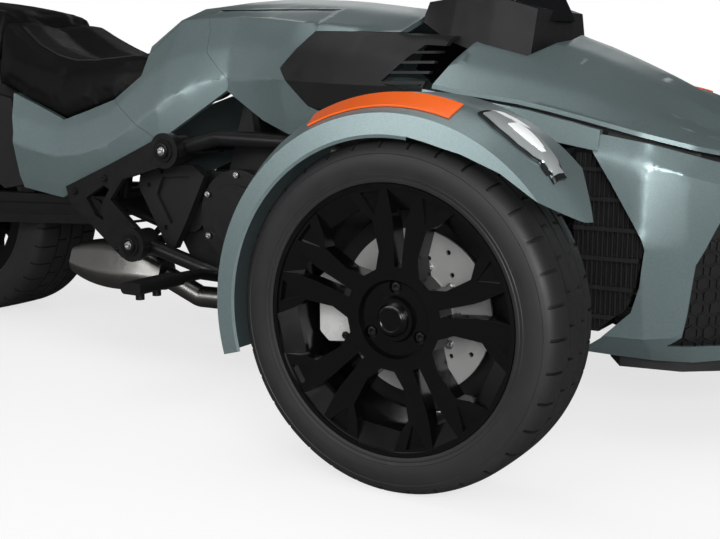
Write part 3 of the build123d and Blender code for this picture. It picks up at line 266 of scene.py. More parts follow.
# Moulded amber acrylic over a prism sheet.
AMBER_LENS = Finish("amber_acrylic", "#e0601c", "#d65613", (0.18, 0.26), Grain.MOULDED, 4.0, 0.06, coat=0.4,
                    coat_roughness=0.08)
# Moulded red acrylic, a little deeper in gloss.
RED_LENS = Finish("red_acrylic", "#a50d10", "#8f0a0d", (0.12, 0.2), Grain.MOULDED, 5.0, 0.08, coat=0.5,
                  coat_roughness=0.05)
# Soft moulded rubber: dull and dark.
GRIP_RUBBER = Finish("grip_rubber", "#101010", "#161616", (0.6, 0.72), Grain.MOULDED, 2.0, 0.15)
# Smoked screen: dark acrylic that mirrors the room.
SCREEN = Finish("smoked_acrylic", "#0b0c0d", "#101112", (0.04, 0.08), Grain.POLISHED, coat=0.6, coat_roughness=0.03)
# Brushed stainless exhaust.
EXHAUST_METAL = Finish("brushed_exhaust_steel", "#8f8e8b", "#807e7b", (0.26, 0.36), Grain.POLISHED, metallic=1.0)
# Plated fasteners, bright and blacked.
ZINC = Finish("zinc_plated_steel", "#d6d7d6", "#c6c7c6", (0.22, 0.32), Grain.POLISHED, metallic=0.9)
DARK_ZINC = Finish("black_zinc_steel", "#202021", "#28282a", (0.26, 0.36), Grain.POLISHED, metallic=0.7)
# Thread of the seat's seams.
THREAD = Finish("seat_thread", "#1d1c1b", "#242220", (0.6, 0.75), Grain.POLISHED)

SLOT_FINISH = {
    "body_paint": BODY_PAINT, "black_plastic": BLACK_PLASTIC, "frame_black": FRAME_BLACK, "tyre": TYRE_RUBBER,
    "rim_black": RIM_BLACK, "disc_steel": FRONT_DISC, "cast_aluminium": CAST_ALUMINIUM, "engine_grey": ENGINE_GREY,
    "seat_leather": SEAT_VINYL, "clear_lens": CLEAR_LENS, "amber_lens": AMBER_LENS, "red_lens": RED_LENS,
    "grip_rubber": GRIP_RUBBER, "screen": SCREEN, "exhaust_metal": EXHAUST_METAL,
}


def activate(piece: Piece) -> None:
    """Selects one piece alone and makes it the one that operators act on."""
    if bpy.context.object and bpy.context.object.mode != "OBJECT":
        bpy.ops.object.mode_set(mode="OBJECT")
    for other in bpy.context.view_layer.objects:
        other.select_set(False)
    bpy.context.view_layer.objects.active = piece
    piece.select_set(True)


@contextmanager
def editing(piece: Piece) -> Iterator[None]:
    """Holds a piece in edit mode with all of it selected."""
    activate(piece)
    bpy.ops.object.mode_set(mode="EDIT")
    bpy.ops.mesh.select_mode(type="FACE")
    bpy.ops.mesh.select_all(action="SELECT")
    yield
    bpy.ops.object.mode_set(mode="OBJECT")


def pick_faces(piece: Piece, test: Test) -> int:
    """Selects the faces of the piece in edit mode by place and normal.

    Args:
        piece: Piece that is being edited.
        test: Says yes to a face from its centre and normal.

    Returns:
        How many faces are selected.
    """
    mesh = bmesh.from_edit_mesh(piece.data)
    chosen = [face for face in mesh.faces if test(face.calc_center_median(), face.normal)]
    for face in mesh.faces:
        face.select_set(False)
    for face in chosen:
        face.select_set(True)
    bmesh.update_edit_mesh(piece.data)
    return len(chosen)


def modify(piece: Piece, kind: str, **settings: object) -> None:
    """Adds a modifier to the piece and applies it.

    Args:
        piece: Piece that the modifier changes.
        kind: Blender's name for the modifier.
        settings: Attributes of the modifier.
    """
    activate(piece)
    modifier = piece.modifiers.new(kind.lower(), kind)
    for name, value in settings.items():
        setattr(modifier, name, value)
    bpy.ops.object.modifier_apply(modifier=modifier.name)


def smooth(piece: Piece, angle: float = 32.0) -> None:
    """Shades a piece smooth up to an angle between faces, in degrees."""
    activate(piece)
    bpy.ops.object.shade_smooth_by_angle(angle=radians(angle))


def settle(piece: Piece) -> None:
    """Puts the piece's place into its mesh and its object at the origin."""
    activate(piece)
    bpy.ops.object.transform_apply(location=True, rotation=True, scale=True)


def join(pieces: Sequence[Piece], name: str) -> Piece:
    """Makes one piece of several.

    Args:
        pieces: Pieces to join; the first one takes the others in.
        name: Name of the joined piece.

    Returns:
        The joined piece.
    """
    activate(pieces[0])
    for other in pieces[1:]:
        other.select_set(True)
    if len(pieces) > 1:
        bpy.ops.object.join()
    pieces[0].name = pieces[0].data.name = name
    return pieces[0]


def paint(piece: Piece, finish: Finish) -> None:
    """Gives the whole piece one finish."""
    piece.data.materials.clear()
    piece.data.materials.append(finish.material())


def surface(piece: Piece) -> BVHTree:
    """Gives a piece's faces as something that rays can be cast at."""
    mesh = piece.data
    return BVHTree.FromPolygons([v.co for v in mesh.vertices], [p.vertices[:] for p in mesh.polygons])


def duplicate(piece: Piece, name: str) -> Piece:
    """Copies a piece with a mesh of its own.

    Args:
        piece: Piece to copy.
        name: Name of the copy.

    Returns:
        The copy, in the same place.
    """
    other = piece.copy()
    other.data = piece.data.copy()
    other.name = other.data.name = name
    bpy.context.scene.collection.objects.link(other)
    return other


def slot_of(node: str) -> str:
    """Gives the record's material slot of a CAD node."""
    return next(row["material_slot"] for row in frame["record"]["subparts"] if row["node"] == node)


def cad_copy(node: str, name: str) -> Piece:
    """Copies a CAD node's mesh into a new piece with its seams merged.

    Args:
        node: CAD node to copy.
        name: Name of the piece.

    Returns:
        The copy, without a body or a slot yet.
    """
    mesh = frame["nodes"][node].data.copy()
    piece = bpy.data.objects.new(name, mesh)
    bpy.context.scene.collection.objects.link(piece)
    activate(piece)
    if mesh.has_custom_normals:
        bpy.ops.mesh.customdata_custom_splitnormals_clear()
    with editing(piece):
        bpy.ops.mesh.remove_doubles(threshold=0.00004)
        bpy.ops.mesh.dissolve_limited(angle_limit=radians(0.1))
    return piece


def soften(piece: Piece, bevel_mm: float, angle: float = 34.0, crisp: bool = True) -> None:
    """Rounds a piece's edges and shades it smooth between them.

    Args:
        piece: Piece to soften.
        bevel_mm: Width of the rounded edges, or nothing for none.
        angle: Edges sharper than this angle are rounded.
        crisp: Whether large faces keep their own normals.
    """
    if bevel_mm:
        modify(piece, "BEVEL", width=bevel_mm * MM, segments=2, limit_method="ANGLE", angle_limit=radians(angle),
               use_clamp_overlap=True, loop_slide=True)
    smooth(piece, angle)
    if crisp:
        modify(piece, "WEIGHTED_NORMAL", keep_sharp=True)


def relax(piece: Piece, edge_mm: float = 18.0, rounds: int = 14, keep: float = 26.0) -> None:
    """Evens out the facets of a lofted skin and leaves its rims where they are.

    Args:
        piece: Piece to even out.
        edge_mm: Longest edge that is left after splitting.
        rounds: How often each point moves towards its neighbours.
        keep: Points on edges sharper than this angle stay.
    """
    with editing(piece):
        bpy.ops.mesh.quads_convert_to_tris()
        for _ in range(6):
            mesh = bmesh.from_edit_mesh(piece.data)
            bpy.ops.mesh.select_mode(type="EDGE")
            bpy.ops.mesh.select_all(action="DESELECT")
            longest = [edge for edge in mesh.edges if edge.calc_length() > edge_mm * MM]
            if not longest:
                break
            for edge in longest:
                edge.select_set(True)
            bmesh.update_edit_mesh(piece.data)
            bpy.ops.mesh.subdivide(number_cuts=1)
            bpy.ops.mesh.select_all(action="SELECT")
            bpy.ops.mesh.quads_convert_to_tris()
        bpy.ops.mesh.select_all(action="SELECT")
        bpy.ops.mesh.beautify_fill(angle_limit=radians(8))
    mesh = bmesh.new()
    mesh.from_mesh(piece.data)
    skin = [vertex.index for vertex in mesh.verts
            if all(edge.is_manifold and edge.calc_face_angle(0) < radians(keep) for edge in vertex.link_edges)]
    mesh.free()
    piece.vertex_groups.new(name="skin").add(skin, 1.0, "REPLACE")
    modify(piece, "SMOOTH", factor=0.5, iterations=rounds, vertex_group="skin")


def dress(node: str, finish: Finish | None = None, bevel_mm: float = 1.2, angle: float = 34.0,
          crisp: bool = True) -> Piece:
    """Makes a softened copy of a rigid CAD node, with a finish, in the node's place.

    Args:
        node: CAD node that the copy stands for.
        finish: Finish of the copy, or none for the slot's own.
        bevel_mm: Width of the rounded edges.
        angle: Edges sharper than this angle are rounded.
        crisp: Whether large faces keep their own normals.

    Returns:
        The dressed piece.
    """
    piece = cad_copy(node, node + "_dressed")
    if not crisp:
        relax(piece)
    soften(piece, bevel_mm, angle, crisp)
    paint(piece, finish or SLOT_FINISH[slot_of(node)])
    seat(piece, frame["nodes"][node]["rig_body"], slot_of(node), node)
    return piece


def seat(piece: Piece, body: str, slot: str, *nodes: str) -> Piece:
    """Ties a finished piece to its body, and to the CAD nodes that it stands for.

    Args:
        piece: Finished piece.
        body: Body that the piece rides on.
        slot: Material slot of the record; not used.
        nodes: CAD nodes that the piece stands for.

    Returns:
        The same piece.
    """
    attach(piece, body)
    if nodes:
        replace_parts(piece, *nodes)
    LOG.info("%s rides on %s", piece.name, body)
    return piece


def chain(name: str, points: Sequence[Vector]) -> Piece:
    """Draws a row of edges from point to point.

    Args:
        name: Name of the piece.
        points: Corners in order, in metres.

    Returns:
        The row of edges, ready to be spun.
    """
    bpy.ops.mesh.primitive_plane_add(size=0.001, location=(0, 0, 0))
    piece = bpy.context.object
    piece.name = piece.data.name = name
    with editing(piece):
        bpy.ops.mesh.select_mode(type="VERT")
        bpy.ops.mesh.merge(type="CENTER")
        bpy.ops.transform.translate(value=points[0])
        for start, end in zip(points, points[1:]):
            bpy.ops.mesh.extrude_region_move(TRANSFORM_OT_translate={"value": end - start})
    return piece


def lathe(name: str, profile: Sequence[tuple[float, float]], axle: Vector, steps: int) -> Piece:
    """Spins a profile about an axle that runs across the vehicle.

    Args:
        name: Name of the piece.
        profile: Radius and distance across, in millimetres.
        axle: Middle of the axle, in metres.
        steps: Faces around the ring.

    Returns:
        The ring, with its seam merged and its faces looking out.
    """
    piece = chain(name, [axle + Vector((r, y, 0)) * MM for r, y in profile])
    with editing(piece):
        bpy.ops.mesh.spin(steps=steps, angle=tau, center=axle, axis=(0, 1, 0))
        bpy.ops.mesh.select_all(action="SELECT")
        bpy.ops.mesh.remove_doubles(threshold=0.00002)
        bpy.ops.mesh.normals_make_consistent(inside=False)
    return piece


@dataclass(frozen=True)
class Bolt:
    """One fastener: where its seat is, which way its head looks, and its head's size in millimetres."""

    seat: tuple[float, float, float]
    out: tuple[float, float, float]
    head_r: float
    height: float
    sides: int = 6
    collar: float = 1.35

    def build(self) -> Piece:
        """Makes a washer under a rounded head with a sunk socket.

        Returns:
            The bolt, still turned and placed by its object.
        """
        turn = Vector(self.out).to_track_quat("Z", "Y").to_euler()
        place = (Vector(self.seat) + Vector(self.out).normalized() * self.height / 2) * MM
        bpy.ops.mesh.primitive_cylinder_add(vertices=24, radius=self.head_r * self.collar * MM,
                                            depth=self.height * 0.4 * MM, rotation=turn,
                                            location=place - Vector(self.out).normalized() * self.height * 0.3 * MM)
        washer = bpy.context.object
        bpy.ops.mesh.primitive_cylinder_add(vertices=self.sides, radius=self.head_r * MM, depth=self.height * MM,
                                            location=place, rotation=turn)
        head = bpy.context.object
        with editing(head):
            pick_faces(head, lambda centre, normal: normal.z > 0.9)
            bpy.ops.mesh.inset(thickness=self.head_r * 0.45 * MM)
            bpy.ops.mesh.extrude_region_shrink_fatten(
                TRANSFORM_OT_shrink_fatten={"value": -self.height * 0.4 * MM})
        modify(head, "BEVEL", width=0.08 * self.head_r * MM, segments=2, limit_method="ANGLE",
               angle_limit=radians(40))
        return join([head, washer], "bolt")


def group(name: str, bolts: Sequence[Bolt], finish: Finish) -> Piece:
    """Makes one piece of several bolts.

    Args:
        name: Name of the piece.
        bolts: Bolts to make.
        finish: Finish of all of them.

    Returns:
        The bolts as one piece.
    """
    piece = join([bolt.build() for bolt in bolts], name)
    settle(piece)
    smooth(piece, 30.0)
    paint(piece, finish)
    return piece


def fasten(name: str, bolts: Sequence[Bolt], finish: Finish, body: str, slot: str) -> Piece:
    """Sets a group of bolts as one piece on a body."""
    return seat(group(name, bolts, finish), body, slot)


@dataclass
class Tyre:
    """Road tyre with sidewall rings, ribs, shoulder blocks and sipes."""

    node: str
    body: str
    axle: Vector
    radius: float
    width: float
    rim_r: float
    pitches: int = 35
    steps: int = 10
    groove: float = 6.5
    rib: float = 7.0
    # Sidewall: share of the way from bead to tread, and how far in from the widest point
    wall: tuple = ((-0.12, 18.0), (0.006, 14.0), (0.02, 5.0), (0.07, 3.2), (0.11, 3.0), (0.125, 3.8), (0.20, 2.0),
                   (0.215, 2.6), (0.33, 0.7), (0.45, 0.0), (0.58, 0.8), (0.66, 2.2), (0.675, 1.5), (0.74, 3.0),
                   (0.80, 5.0), (0.86, 8.5), (0.91, 13.0), (0.945, 19.0), (0.966, 26.0), (0.98, 34.0))
    # Tread: where its flat part starts, its rows, its bare middle and its crown
    flat_in: float = 40.0
    row: float = 12.0
    middle: float = 9.0
    crown: float = 0.012
    # Shares of the width at which channels, shoulder cuts and sipes lie, and of the wall where cuts begin
    channel_at: float = 0.19
    shoulder_at: float = 0.24
    sipe_at: float = 0.08
    tread_from: float = 0.80
    sipe_step: int = 3

    def profile(self) -> list[tuple[float, float]]:
        """Gives radius and distance across from one bead to the other."""
        depth, half = self.radius - self.rim_r, self.width / 2
        points = [(self.rim_r + share * depth, half - inset) for share, inset in self.wall]
        inner = half - self.flat_in
        count = max(2, round(inner / self.row))
        across = [y for y in (inner * (1 - i / count) for i in range(count)) if y > self.middle]
        across += [centre + d for centre in self.channels() for d in (-self.rib / 2, self.rib / 2) if centre + d > 0]
        flat = [(self.radius - self.crown * depth * (y / inner) ** 2, y) for y in across]
        points += sorted(flat, key=lambda row: -row[1])
        return [(r, -y) for r, y in points] + [(r, y) for r, y in reversed(points)]

    def channels(self) -> tuple[float, ...]:
        """Gives the middle of each groove around the tread, on one half."""
        return 0.0, self.width * self.channel_at

    def grooved(self, centre: Vector, normal: Vector) -> bool:
        """Says whether a face of the plain ring lies in a groove or a cut.

        Args:
            centre: Middle of the face.
            normal: Way that the face looks, which doesn't matter here.

        Returns:
            Whether the face is sunk.
        """
        x, y, z = (centre - self.axle) / MM
        out, across = hypot(x, z), abs(y)
        if out < self.rim_r + self.tread_from * (self.radius - self.rim_r):
            return False
        if any(abs(across - channel) < self.rib / 2 - 0.1 for channel in self.channels()):
            return True
        column = int((degrees(atan2(z, x)) % 360) / 360 * self.pitches * self.steps)
        phase = column % self.steps
        if across > self.width * self.shoulder_at:
            return phase == (0 if y < 0 else self.steps // 2)
        if across > self.width * self.channel_at:
            return False
        return phase == self.sipe_step and across > self.width * self.sipe_at

    def build(self) -> Piece:
        """Spins the profile and sinks the grooves.

        Returns:
            The tyre, seated on its wheel.
        """
        piece = lathe(self.node + "_tread", self.profile(), self.axle, self.pitches * self.steps)
        with editing(piece):
            count = pick_faces(piece, self.grooved)
            bpy.ops.mesh.extrude_region_shrink_fatten(TRANSFORM_OT_shrink_fatten={"value": -self.groove * MM})
        smooth(piece, 30.0)
        paint(piece, TYRE_RUBBER)
        LOG.info("%s: %d faces in grooves", piece.name, count)
        return seat(piece, self.body, "tyre", self.node)


def prism(name: str, corners: Sequence[Vector], push: Vector) -> Piece:
    """Fills an outline and pushes it into a closed block.

    Args:
        name: Name of the piece.
        corners: Corners of the outline in order, in metres.
        push: Way and length of the block.

    Returns:
        The block, with its faces looking out.
    """
    piece = chain(name, [*corners, corners[0]])
    with editing(piece):
        bpy.ops.mesh.remove_doubles(threshold=0.00002)
        bpy.ops.mesh.select_mode(type="EDGE")
        bpy.ops.mesh.select_all(action="SELECT")
        bpy.ops.mesh.edge_face_add()
        bpy.ops.mesh.extrude_region_move(TRANSFORM_OT_translate={"value": push})
        bpy.ops.mesh.select_all(action="SELECT")
        bpy.ops.mesh.normals_make_consistent(inside=False)
    return piece


def cut(piece: Piece, cutters: Sequence[Piece]) -> None:
    """Takes blocks out of a piece.

    Args:
        piece: Piece that is cut.
        cutters: Closed blocks, which are used up.
    """
    tool = join(cutters, "cutter")
    modify(piece, "BOOLEAN", object=tool, operation="DIFFERENCE", solver="EXACT")
    bpy.data.objects.remove(tool)


def twin(piece: Piece, name: str) -> Piece:
    """Makes the mirrored copy of a piece on the other side of the vehicle.

    Args:
        piece: Piece to mirror.
        name: Name of the copy.

    Returns:
        The copy, with its faces looking out.
    """
    other = duplicate(piece, name)
    other.scale = (1, -1, 1)
    settle(other)
    with editing(other):
        bpy.ops.mesh.normals_make_consistent(inside=False)
    return other


@dataclass
class FrontWheel:
    """Cast wheel of five twin spokes whose ends fork to the lip, with sloped mouths and sunk corners."""

    axle: Vector = field(default_factory=lambda: Vector((0.801, -0.654, 0.281)))
    pairs: int = 5
    phase_deg: float = 84.0
    fork_deg: float = 15.5
    lip_r: float = 207.0
    edge_y: float = -74.0
    hub_face: float = -58.0
    slope: float = 0.62
    fork_floor: float = -67.0
    # Outlines on the wheel's face: distance out from the axle, then across
    slot: tuple = ((84, -6), (150, -11), (176, -16), (176, 16), (150, 11), (84, 6))
    window: tuple = ((82, -12), (104, -33), (150, -50), (176, -38), (176, 38), (150, 50), (104, 33), (82, 12))
    slot_mouth: tuple = ((168, -14.5), (206, -25), (206, 25), (168, 14.5))
    window_mouth: tuple = ((168, -41), (206, -33), (206, 33), (168, 41))
    fork: tuple = ((166, 0), (202, -18), (202, 18))
    slope_r: float = 205.0
    deep_y: float = 20.0
    block_long: float = 130.0
    # Barrel: half its width, flange, bead seat, well and hub
    half: float = 78.0
    flange_r: float = 214.0
    bead: float = 20.0
    lip_step: float = 4.0
    seat_r: float = 190.0
    well_r: float = 181.0
    well_y: float = -46.0
    hub_r: float = 76.0
    hub_deep: float = 40.0
    core_r: float = 0.5
    steps: int = 180
    # Lug holes, then the sunk ring and the centre cap as radius and distance across
    lugs: int = 3
    lug_r: float = 50.0
    lug_hole: float = 11.0
    dish: tuple = ((33, -60), (64, -60), (58, -50), (37, -50), (33, -60))
    cap: tuple = ((0.3, -66), (17, -66), (18, -67.2), (20, -67.2), (21, -66), (23, -65.5), (27, -61), (27, -49),
                  (0.3, -49))

    def at(self, out: float, across: float, y: float, angle: float) -> Vector:
        """Places a point of the wheel's face."""
        a = radians(angle)
        x, z = out * cos(a) - across * sin(a), out * sin(a) + across * cos(a)
        return self.axle + Vector((x, y, z)) * MM

    def block(self, outline: Sequence[tuple[float, float]], angle: float, floor: float | None = None) -> Piece:
        """Makes a cutter over an outline.

        Args:
            outline: Corners on the wheel's face.
            angle: Turn about the axle, in degrees.
            floor: Distance across of a flat floor, or none for one that slopes up to the lip.

        Returns:
            The cutter.
        """
        corners = [self.at(r, w, floor if floor is not None else self.edge_y + self.slope * (self.slope_r - r), angle)
                   for r, w in outline]
        return prism("cutter", corners, Vector((0, -self.block_long * MM, 0)))

    def profile(self) -> list[tuple[float, float]]:
        """Gives the wheel's section as radius and distance across."""
        outer, inner = -self.half, self.half
        hub_back = self.hub_face + self.hub_deep
        return [(self.flange_r, outer), (self.lip_r, outer), (self.lip_r, self.edge_y), (self.hub_r, self.hub_face),
                (self.core_r, self.hub_face), (self.core_r, hub_back), (self.hub_r, hub_back),
                (self.well_r, self.well_y), (self.well_r, inner - self.lip_step), (self.lip_r, inner - self.lip_step),
                (self.lip_r, inner), (self.flange_r, inner), (self.flange_r, inner - self.bead),
                (self.seat_r, inner - self.bead), (self.seat_r, outer + self.bead), (self.flange_r, outer + self.bead),
                (self.flange_r, outer)]

    def build(self) -> Piece:
        """Spins the wheel, cuts its openings and slopes, and adds the cap.

        Returns:
            The right wheel, not seated yet.
        """
        wheel = lathe("front_wheel", self.profile(), self.axle, self.steps)
        pitch = 360.0 / self.pairs
        openings, slopes = [], []
        for index in range(self.pairs):
            angle = self.phase_deg + index * pitch
            openings += [self.block(self.slot, angle, self.deep_y),
                         self.block(self.window, angle + pitch / 2, self.deep_y)]
            openings += [self.block(self.fork, angle + s * self.fork_deg, self.fork_floor) for s in (1, -1)]
            slopes += [self.block(self.slot_mouth, angle), self.block(self.window_mouth, angle + pitch / 2)]
        for index in range(self.lugs):
            spot = self.at(self.lug_r, 0, self.hub_face, 90 + 360 / self.lugs * index)
            bpy.ops.mesh.primitive_cylinder_add(vertices=32, radius=self.lug_hole * MM, depth=self.hub_deep * MM,
                                                rotation=(pi / 2, 0, 0), location=spot)
            openings.append(bpy.context.object)
        for piece in openings:
            settle(piece)
        slopes.append(lathe("dish", self.dish, self.axle, 72))
        cut(wheel, openings)
        cut(wheel, slopes)
        cap = lathe("cap", self.cap, self.axle, 64)
        with editing(wheel):
            bpy.ops.mesh.remove_doubles(threshold=0.00003)
            bpy.ops.mesh.dissolve_limited(angle_limit=radians(0.05))
        soften(wheel, 0.9, 22.0)
        soften(cap, 0.4, 30.0)
        wheel = join([wheel, cap], "rim_right_dressed")
        paint(wheel, RIM_BLACK)
        return wheel


@dataclass
class FrontFender:
    """Fender over a front wheel: pointed tip and position lamp; its amber strip is dressed with the corner."""

    axle: Vector = field(default_factory=lambda: Vector((0.801, -0.654, 0.281)))
    tip: tuple[float, float] = (306.0, -22.0)
    tip_way: tuple[float, float] = (0.857, 0.514)
    # Lamp's two long edges from above, about the axle, from its rear end to its tip
    leaf_out: tuple = ((132, -44), (160, -53), (200, -57), (222, -54), (246, -44), (262, -32))
    leaf_in: tuple = ((148, -2), (168, 8), (188, 9), (216, 0), (246, -15), (262, -32))
    # Share of the leaf's size, how far the layer stands out and its finish
    layers: tuple = ((1.0, 1.4, LAMP_DARK), (0.9, 2.8, CLEAR_LENS), (0.42, 4.2, LAMP_WHITE))
    layer_thick: float = 4.0
    # Steps on each run of an edge, rows between the edges and the height that they start from
    run_steps: int = 6
    rows: int = 9
    start_high: float = 400.0

    def shell(self) -> Piece:
        """Copies the fender and cuts its front end back to a point.

        Returns:
            The right fender, not seated yet.
        """
        piece = cad_copy("fender_right", "fender_right_dressed")
        place = self.axle + Vector((*self.tip, 0)) * MM
        with editing(piece):
            bpy.ops.mesh.bisect(plane_co=place, plane_no=(*self.tip_way, 0), clear_outer=True, use_fill=True)
        return piece

    def lamp(self, shell: Piece) -> Piece:
        """Lays the lamp's layers on the fender's skin.

        Args:
            shell: The finished right fender.

        Returns:
            The right lamp.
        """
        skin = surface(shell)
        rows = [Vector(row) for row in (*self.leaf_out, *self.leaf_in)]
        middle = sum(rows, Vector((0, 0))) / len(rows)
        layers = []
        for scale, proud, finish in self.layers:
            edges = []
            for line in (self.leaf_out, self.leaf_in):
                points = [middle + scale * (Vector(row) - middle) for row in line]
                dense = [p.lerp(q, i / self.run_steps) for p, q in zip(points, points[1:])
                         for i in range(self.run_steps)] + [points[-1]]
                edges.append(chain("lamp_edge", [self.axle + Vector((*p, self.start_high)) * MM for p in dense]))
            piece = join(edges, "lamp_layer")
            with editing(piece):
                bpy.ops.mesh.select_mode(type="EDGE")
                bpy.ops.mesh.select_all(action="SELECT")
                bpy.ops.mesh.bridge_edge_loops(number_cuts=self.rows)
                bpy.ops.mesh.select_all(action="SELECT")
                bpy.ops.mesh.remove_doubles(threshold=0.0002)
            for vertex in piece.data.vertices:
                hit, normal, *_ = skin.ray_cast(vertex.co, Vector((0, 0, -1)))
                vertex.co = hit + normal * proud * MM
            with editing(piece):
                bpy.ops.mesh.normals_make_consistent(inside=False)
            modify(piece, "SOLIDIFY", thickness=self.layer_thick * MM, offset=-1.0)
            smooth(piece, 40.0)
            paint(piece, finish)
            layers.append(piece)
        return join(layers, "fender_lamp_right_dressed")


@dataclass
class FrontCorners:
    """Both steered wheels with their brakes and fenders: the right one is made and the left one mirrored."""

    axle_x: float = 801.0
    half_track: float = 654.0
    axle_z: float = 281.0
    tyre_r: float = 281.0
    tyre_wide: float = 165.0
    bead_r: float = 214.0
    # Fasteners: distance out from the axle, place across, head radius and height
    lugs: int = 3
    lug: tuple = (50.0, -38.0, 8.0, 12.0)
    bobbins: int = 10
    bobbin: tuple = (78.0, 14.0, 5.5, 5.0)
    pins: tuple = ((-116, 48), (-116, -48))
    pin: tuple = (-10.0, 5.0, 5.0)
    # Splash shield: radius and distance across
    shield: tuple = ((46, 33), (120, 30), (164, 30), (166, 26), (168, 27), (168, 33), (120, 33), (46, 36), (46, 33))

    def at(self, x: float, y: float, z: float) -> tuple[float, float, float]:
        """Places a point written about the right wheel's centre, in millimetres."""
        return self.axle_x + x, y - self.half_track, self.axle_z + z

    def put(self, piece: Piece, part: str, slot: str, *nodes: str) -> None:
        """Seats a right-hand piece and its twin.

        Args:
            piece: Finished right-hand piece, whose name says right.
            part: Which body of the corner it rides on, wheel or knuckle.
            slot: Material slot of the record.
            nodes: CAD nodes that it stands for, without their sides.
        """
        other = twin(piece, piece.name.replace("right", "left"))
        for side, which in (("right", piece), ("left", other)):
            seat(which, f"{side}_{part}", slot, *(f"{node}_{side}" for node in nodes))

    def ring(self, count: int, start_deg: float, size: tuple[float, float, float, float]) -> list[Bolt]:
        """Sets bolts in a ring about the right axle.

        Args:
            count: How many there are.
            start_deg: Angle of the first one.
            size: Distance out, place across, head radius and height.

        Returns:
            The bolts.
        """
        out, across, head, height = size
        angles = [radians(start_deg) + tau * index / count for index in range(count)]
        return [Bolt(self.at(out * cos(a), across, out * sin(a)), (0.0, -1.0, 0.0), head, height) for a in angles]

    def build(self) -> None:
        """Makes the right corner and mirrors it."""
        axle = Vector(self.at(0, 0, 0)) * MM
        for name, sign in (("right", -1), ("left", 1)):
            Tyre(f"tyre_{name}", f"{name}_wheel", Vector((axle.x, sign * self.half_track * MM, axle.z)), self.tyre_r,
                 self.tyre_wide, self.bead_r).build()
            dress(f"brake_disc_{name}", FRONT_DISC, 0.5)
            dress(f"caliper_{name}", CALIPER_SILVER, 2.0)
            dress(f"knuckle_{name}", bevel_mm=1.2)
            dress(f"fender_reflector_{name}", bevel_mm=0.6)
        self.put(FrontWheel(axle).build(), "wheel", "rim_black", "rim")
        fender = FrontFender(axle)
        shell = fender.shell()
        relax(shell, rounds=6)
        soften(shell, 0.8, 26.0, crisp=False)
        paint(shell, BODY_PAINT)
        self.put(fender.lamp(shell), "knuckle", "clear_lens", "fender_lamp")
        self.put(shell, "knuckle", "body_paint", "fender")
        self.put(group("lug_bolts_right", self.ring(self.lugs, 90, self.lug), DARK_ZINC), "wheel", "rim_black")
        self.put(group("disc_bobbins_right", self.ring(self.bobbins, 0, self.bobbin), ZINC), "wheel", "disc_steel")
        across, head, height = self.pin
        pins = [Bolt(self.at(x, across, z), (0.0, -1.0, 0.0), head, height) for x, z in self.pins]
        self.put(group("caliper_bolts_right", pins, DARK_ZINC), "knuckle", "cast_aluminium")
        shield = lathe("splash_shield_right", self.shield, axle, 96)
        smooth(shield)
        paint(shield, BLACK_PLASTIC)
        self.put(shield, "knuckle", "black_plastic")


@dataclass
class Headlamps:
    """Both headlamps: dark bezels with bright optics that stand a little proud of them."""

    node: str = "headlamps"
    optic: float = 0.86
    ahead: float = 16.0
    outward: float = 4.0

    def build(self) -> Piece:
        """Dresses the lenses.

        Returns:
            The dressed lamps.
        """
        bezel = cad_copy(self.node, self.node + "_dressed")
        soften(bezel, 0.5, 34.0)
        paint(bezel, LAMP_DARK)
        layers = [bezel]
        for side in (-1, 1):
            piece = cad_copy(self.node, self.node + "_optic")
            with editing(piece):
                pick_faces(piece, lambda centre, normal: centre.y * side < 0)
                bpy.ops.mesh.delete(type="FACE")
            middle = sum((v.co for v in piece.data.vertices), Vector()) / len(piece.data.vertices)
            with editing(piece):
                bpy.ops.transform.resize(value=(self.optic, self.optic, self.optic), center_override=middle)
                bpy.ops.transform.translate(value=(self.ahead * MM, side * self.outward * MM, 0.0))
            smooth(piece, 34.0)
            paint(piece, CLEAR_LENS)
            layers.append(piece)
        body = frame["nodes"][self.node]["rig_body"]
        return seat(join(layers, self.node + "_dressed"), body, slot_of(self.node), self.node)


